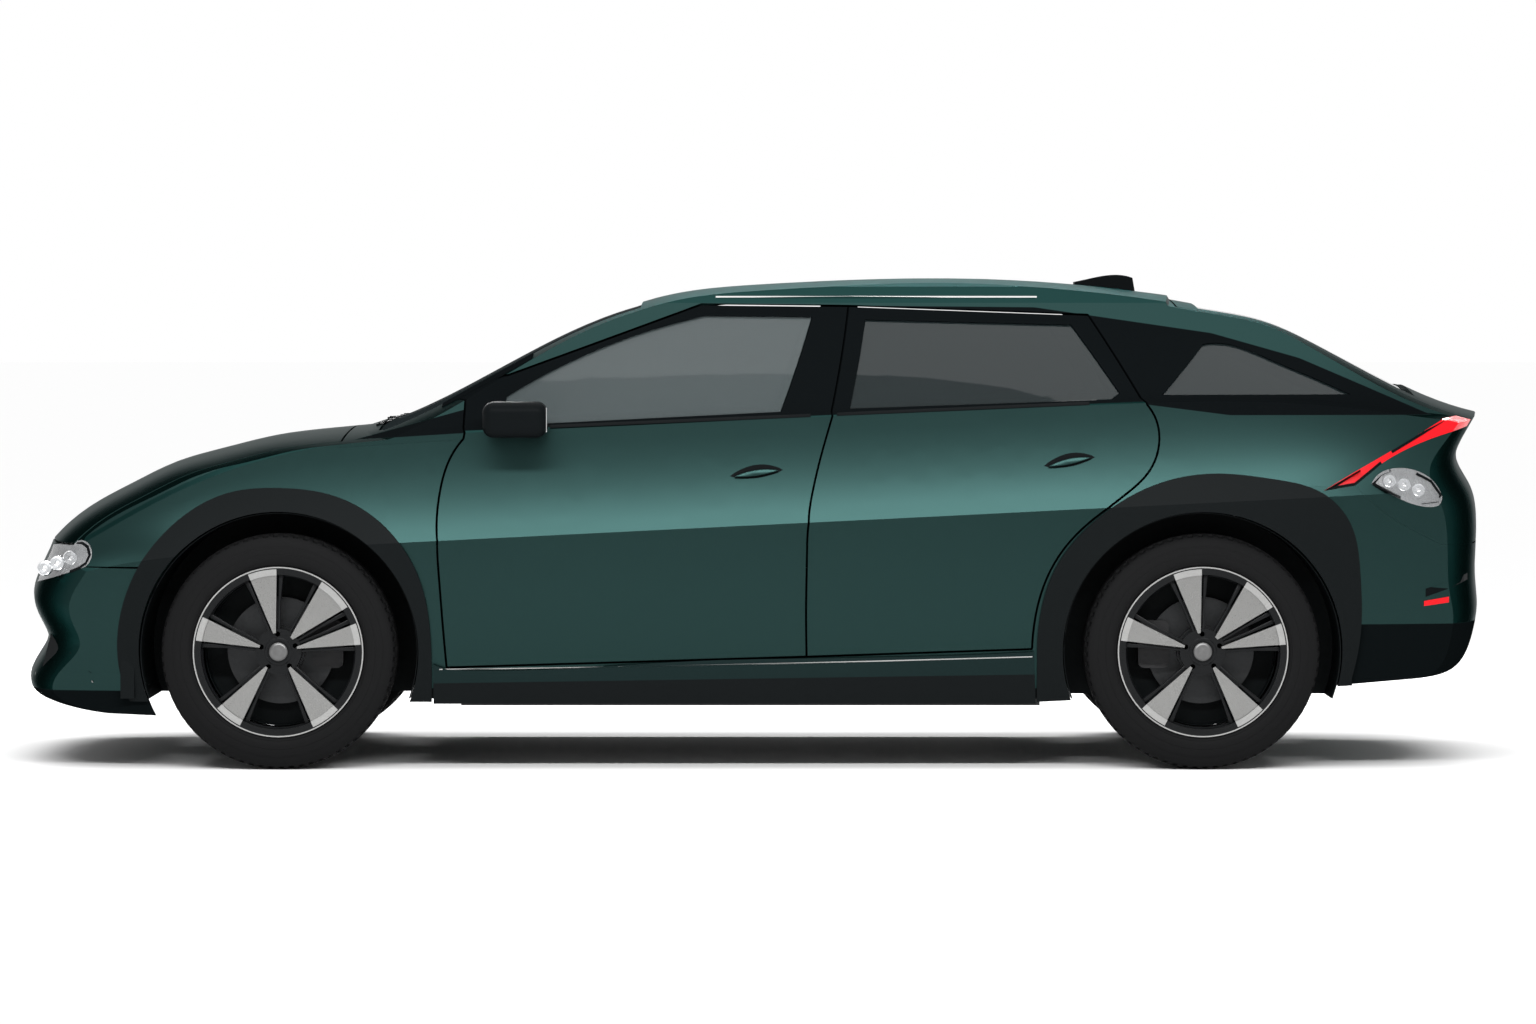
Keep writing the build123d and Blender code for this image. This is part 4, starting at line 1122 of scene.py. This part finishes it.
def gasket(points):
    # a narrow ring that follows the skin just outside an outline
    piece = outlineFace(points)
    onlyThis(piece)
    bpy.ops.object.mode_set(mode="EDIT")
    bpy.ops.mesh.select_all(action="SELECT")
    bpy.ops.mesh.inset(thickness=gasketShape["width"] * 0.4, depth=0.0, use_outset=True)
    bpy.ops.mesh.inset(thickness=gasketShape["width"], depth=0.0)
    bpy.ops.mesh.delete(type="FACE")
    bpy.ops.object.mode_set(mode="OBJECT")
    piece.hide_set(True)
    followSkin(piece, gasketShape["lift"])
    piece.hide_set(False)
    deleteMisses(piece, gasketShape["limit"])
    extrudeAll(piece, (0, 0.004, 0))
    return piece


for label in ("headlamp", "reversing", "tail"):
    ring = finishPiece(gasket(gasketShape[label]), f"{label}_gasket_left", gloss, "body")
    copyTo(ring, f"{label}_gasket_right", "body", mirrorY)

# front corners: a flat dark plate, painted shade standing for a recess, over a bright-edged
# blade
cornerShape = {
    "paintedRecessShade": [(-2.232, 0.415), (-2.150, 0.362), (-2.090, 0.305), (-2.083, 0.300),
               (-2.212, 0.312), (-2.255, 0.312)],
    "blade": [(-2.285, 0.292), (-2.080, 0.276), (-2.078, 0.270), (-2.285, 0.284)],
}
for label, material, lift in (("paintedRecessShade", gloss, 0.0012), ("blade", bladeAlloy, 0.004)):
    plate = finishPiece(skinSheet(cornerShape[label], lift, 0.004),
                        f"front_{label}_left", material, "body")
    copyTo(plate, f"front_{label}_right", "body", mirrorY)
print("lamps and corners done")

# roof: a slim bright-edged strip along each side

roofStripShape = {"x": (-0.12, 0.90), "z": 1.482, "height": 0.005, "lift": 0.002}


def roofStrip():
    low, high = roofStripShape["x"]
    count = 20
    xs = [low + (high - low) * i / count for i in range(count + 1)]
    points = [(x, roofStripShape["z"] + roofStripShape["height"]) for x in xs]
    points += [(x, roofStripShape["z"]) for x in reversed(xs)]
    return skinSheet(points, roofStripShape["lift"], 0.004)


strip = finishPiece(roofStrip(), "roof_strip_left", bladeAlloy, "body")
copyTo(strip, "roof_strip_right", "body", mirrorY)


# wipers at the foot of the windscreen

wiperShape = {"pivots": [(-1.20, -0.42), (-1.20, 0.16)], "length": 0.52, "turn": 70,
              "lift": 0.0015}


def wiper(pivot):
    x, y = pivot
    turn = math.radians(wiperShape["turn"])
    pieces = []
    freshStart()
    bpy.ops.mesh.primitive_cylinder_add(vertices=24, radius=0.012, depth=0.008,
                                        location=(x, y, topAt(x, y)))
    pieces.append(bpy.context.object)
    steps = 8
    for index in range(steps):
        ends = []
        for share in (index / steps, (index + 1) / steps):
            px = x + math.cos(turn) * wiperShape["length"] * share * 0.35
            py = y + wiperShape["length"] * share
            ends.append(Vector((px, py, topAt(px, py) + wiperShape["lift"])))
        middle = (ends[0] + ends[1]) / 2
        freshStart()
        bpy.ops.mesh.primitive_cube_add(size=1, location=middle)
        part = bpy.context.object
        part.scale = ((ends[1] - ends[0]).length * 1.02, 0.010, 0.004)
        part.rotation_euler = (ends[1] - ends[0]).to_track_quat("X", "Z").to_euler()
        applyPlace(part)
        roundEdges(part, 0.0015, 2)
        pieces.append(part)
    return join(pieces)


def topAt(x, y):
    # the height of the body under a place
    depsgraph = bpy.context.evaluated_depsgraph_get()
    hit, place, normal, *_ = bpy.context.scene.ray_cast(
        depsgraph, Vector((x, y, 2.5)), Vector((0, 0, -1)))
    return place.z if hit else 1.07


for label, pivot in zip(("left", "right"), wiperShape["pivots"]):
    finishPiece(wiper(pivot), f"wiper_{label}", trim, "body", smooth=35)
print("outside trim done")


# studio

studio = {
    "floorSize": 400,
    "floorColor": (0.93, 0.93, 0.93),
    "background": (1.0, 1.0, 1.0),
    "roomLight": 0.42,
    "sunStrength": 2.0,
    "sunAngle": 70,
}
lamps = [
    # name, place, size, power, aim
    ("stripLeft", (0, -5.2, 3.6), (7.0, 0.33), 360, (0, -0.93, 0.8)),
    ("stripRight", (0, 5.2, 3.6), (7.0, 0.33), 360, (0, 0.93, 0.8)),
]


def addStudio():
    bpy.ops.object.select_all(action="DESELECT")
    bpy.ops.mesh.primitive_plane_add(size=studio["floorSize"], location=(0, 0, 0))
    floor = bpy.context.object
    floor.name = "floor"
    material, nodes, links = newMaterial("paleFloor")
    shader = shaderOf(material)
    mottle = placeMottle(material, studio["floorColor"], 2.0, 0.004, 0.9)
    links.new(mottle.outputs["Color"], shader.inputs["Base Color"])
    setSockets(shader, {"Roughness": 0.9, "Specular IOR Level": 0.0})
    floor.data.materials.append(material)
    world = bpy.data.worlds.new("studioWorld")
    bpy.context.scene.world = world
    world.use_nodes = True
    tree = world.node_tree
    back = tree.nodes["Background"]
    path = tree.nodes.new("ShaderNodeLightPath")
    seen = mathNode(tree, "MAXIMUM", path.outputs["Is Camera Ray"],
                    path.outputs["Is Transmission Ray"])
    seen = mathNode(tree, "MAXIMUM", seen, path.outputs["Is Glossy Ray"])
    strength = mathNode(tree, "MULTIPLY_ADD", seen, 1.0 - studio["roomLight"])
    strength.node.inputs[2].default_value = studio["roomLight"]
    tree.links.new(strength, back.inputs["Strength"])
    back.inputs["Color"].default_value = studio["background"] + (1,)
    bpy.ops.object.light_add(type="SUN", location=(0, 0, 6))
    sun = bpy.context.object
    sun.name = "softSky"
    sun.data.energy = studio["sunStrength"]
    sun.data.angle = math.radians(studio["sunAngle"])
    for name, place, size, power, aim in lamps:
        bpy.ops.object.light_add(type="AREA", location=place)
        lamp = bpy.context.object
        lamp.name = name
        lamp.data.shape = "RECTANGLE"
        lamp.data.size, lamp.data.size_y = size
        lamp.data.energy = power
        lamp.rotation_euler = (Vector(aim) - Vector(place)).to_track_quat(
            "-Z", "Y").to_euler()


cameraView = {"place": (0.046, -20.0, 1.4), "tilt": 1.772, "lens": 142.9}


def addCamera():
    bpy.ops.object.camera_add(location=cameraView["place"])
    camera = bpy.context.object
    camera.rotation_euler = (math.radians(90 - cameraView["tilt"]), 0, 0)
    camera.data.lens = cameraView["lens"]
    camera.data.sensor_width = 36
    bpy.context.scene.camera = camera


addStudio()
addCamera()
bpy.context.scene.view_settings.view_transform = "Standard"
print("studio set")
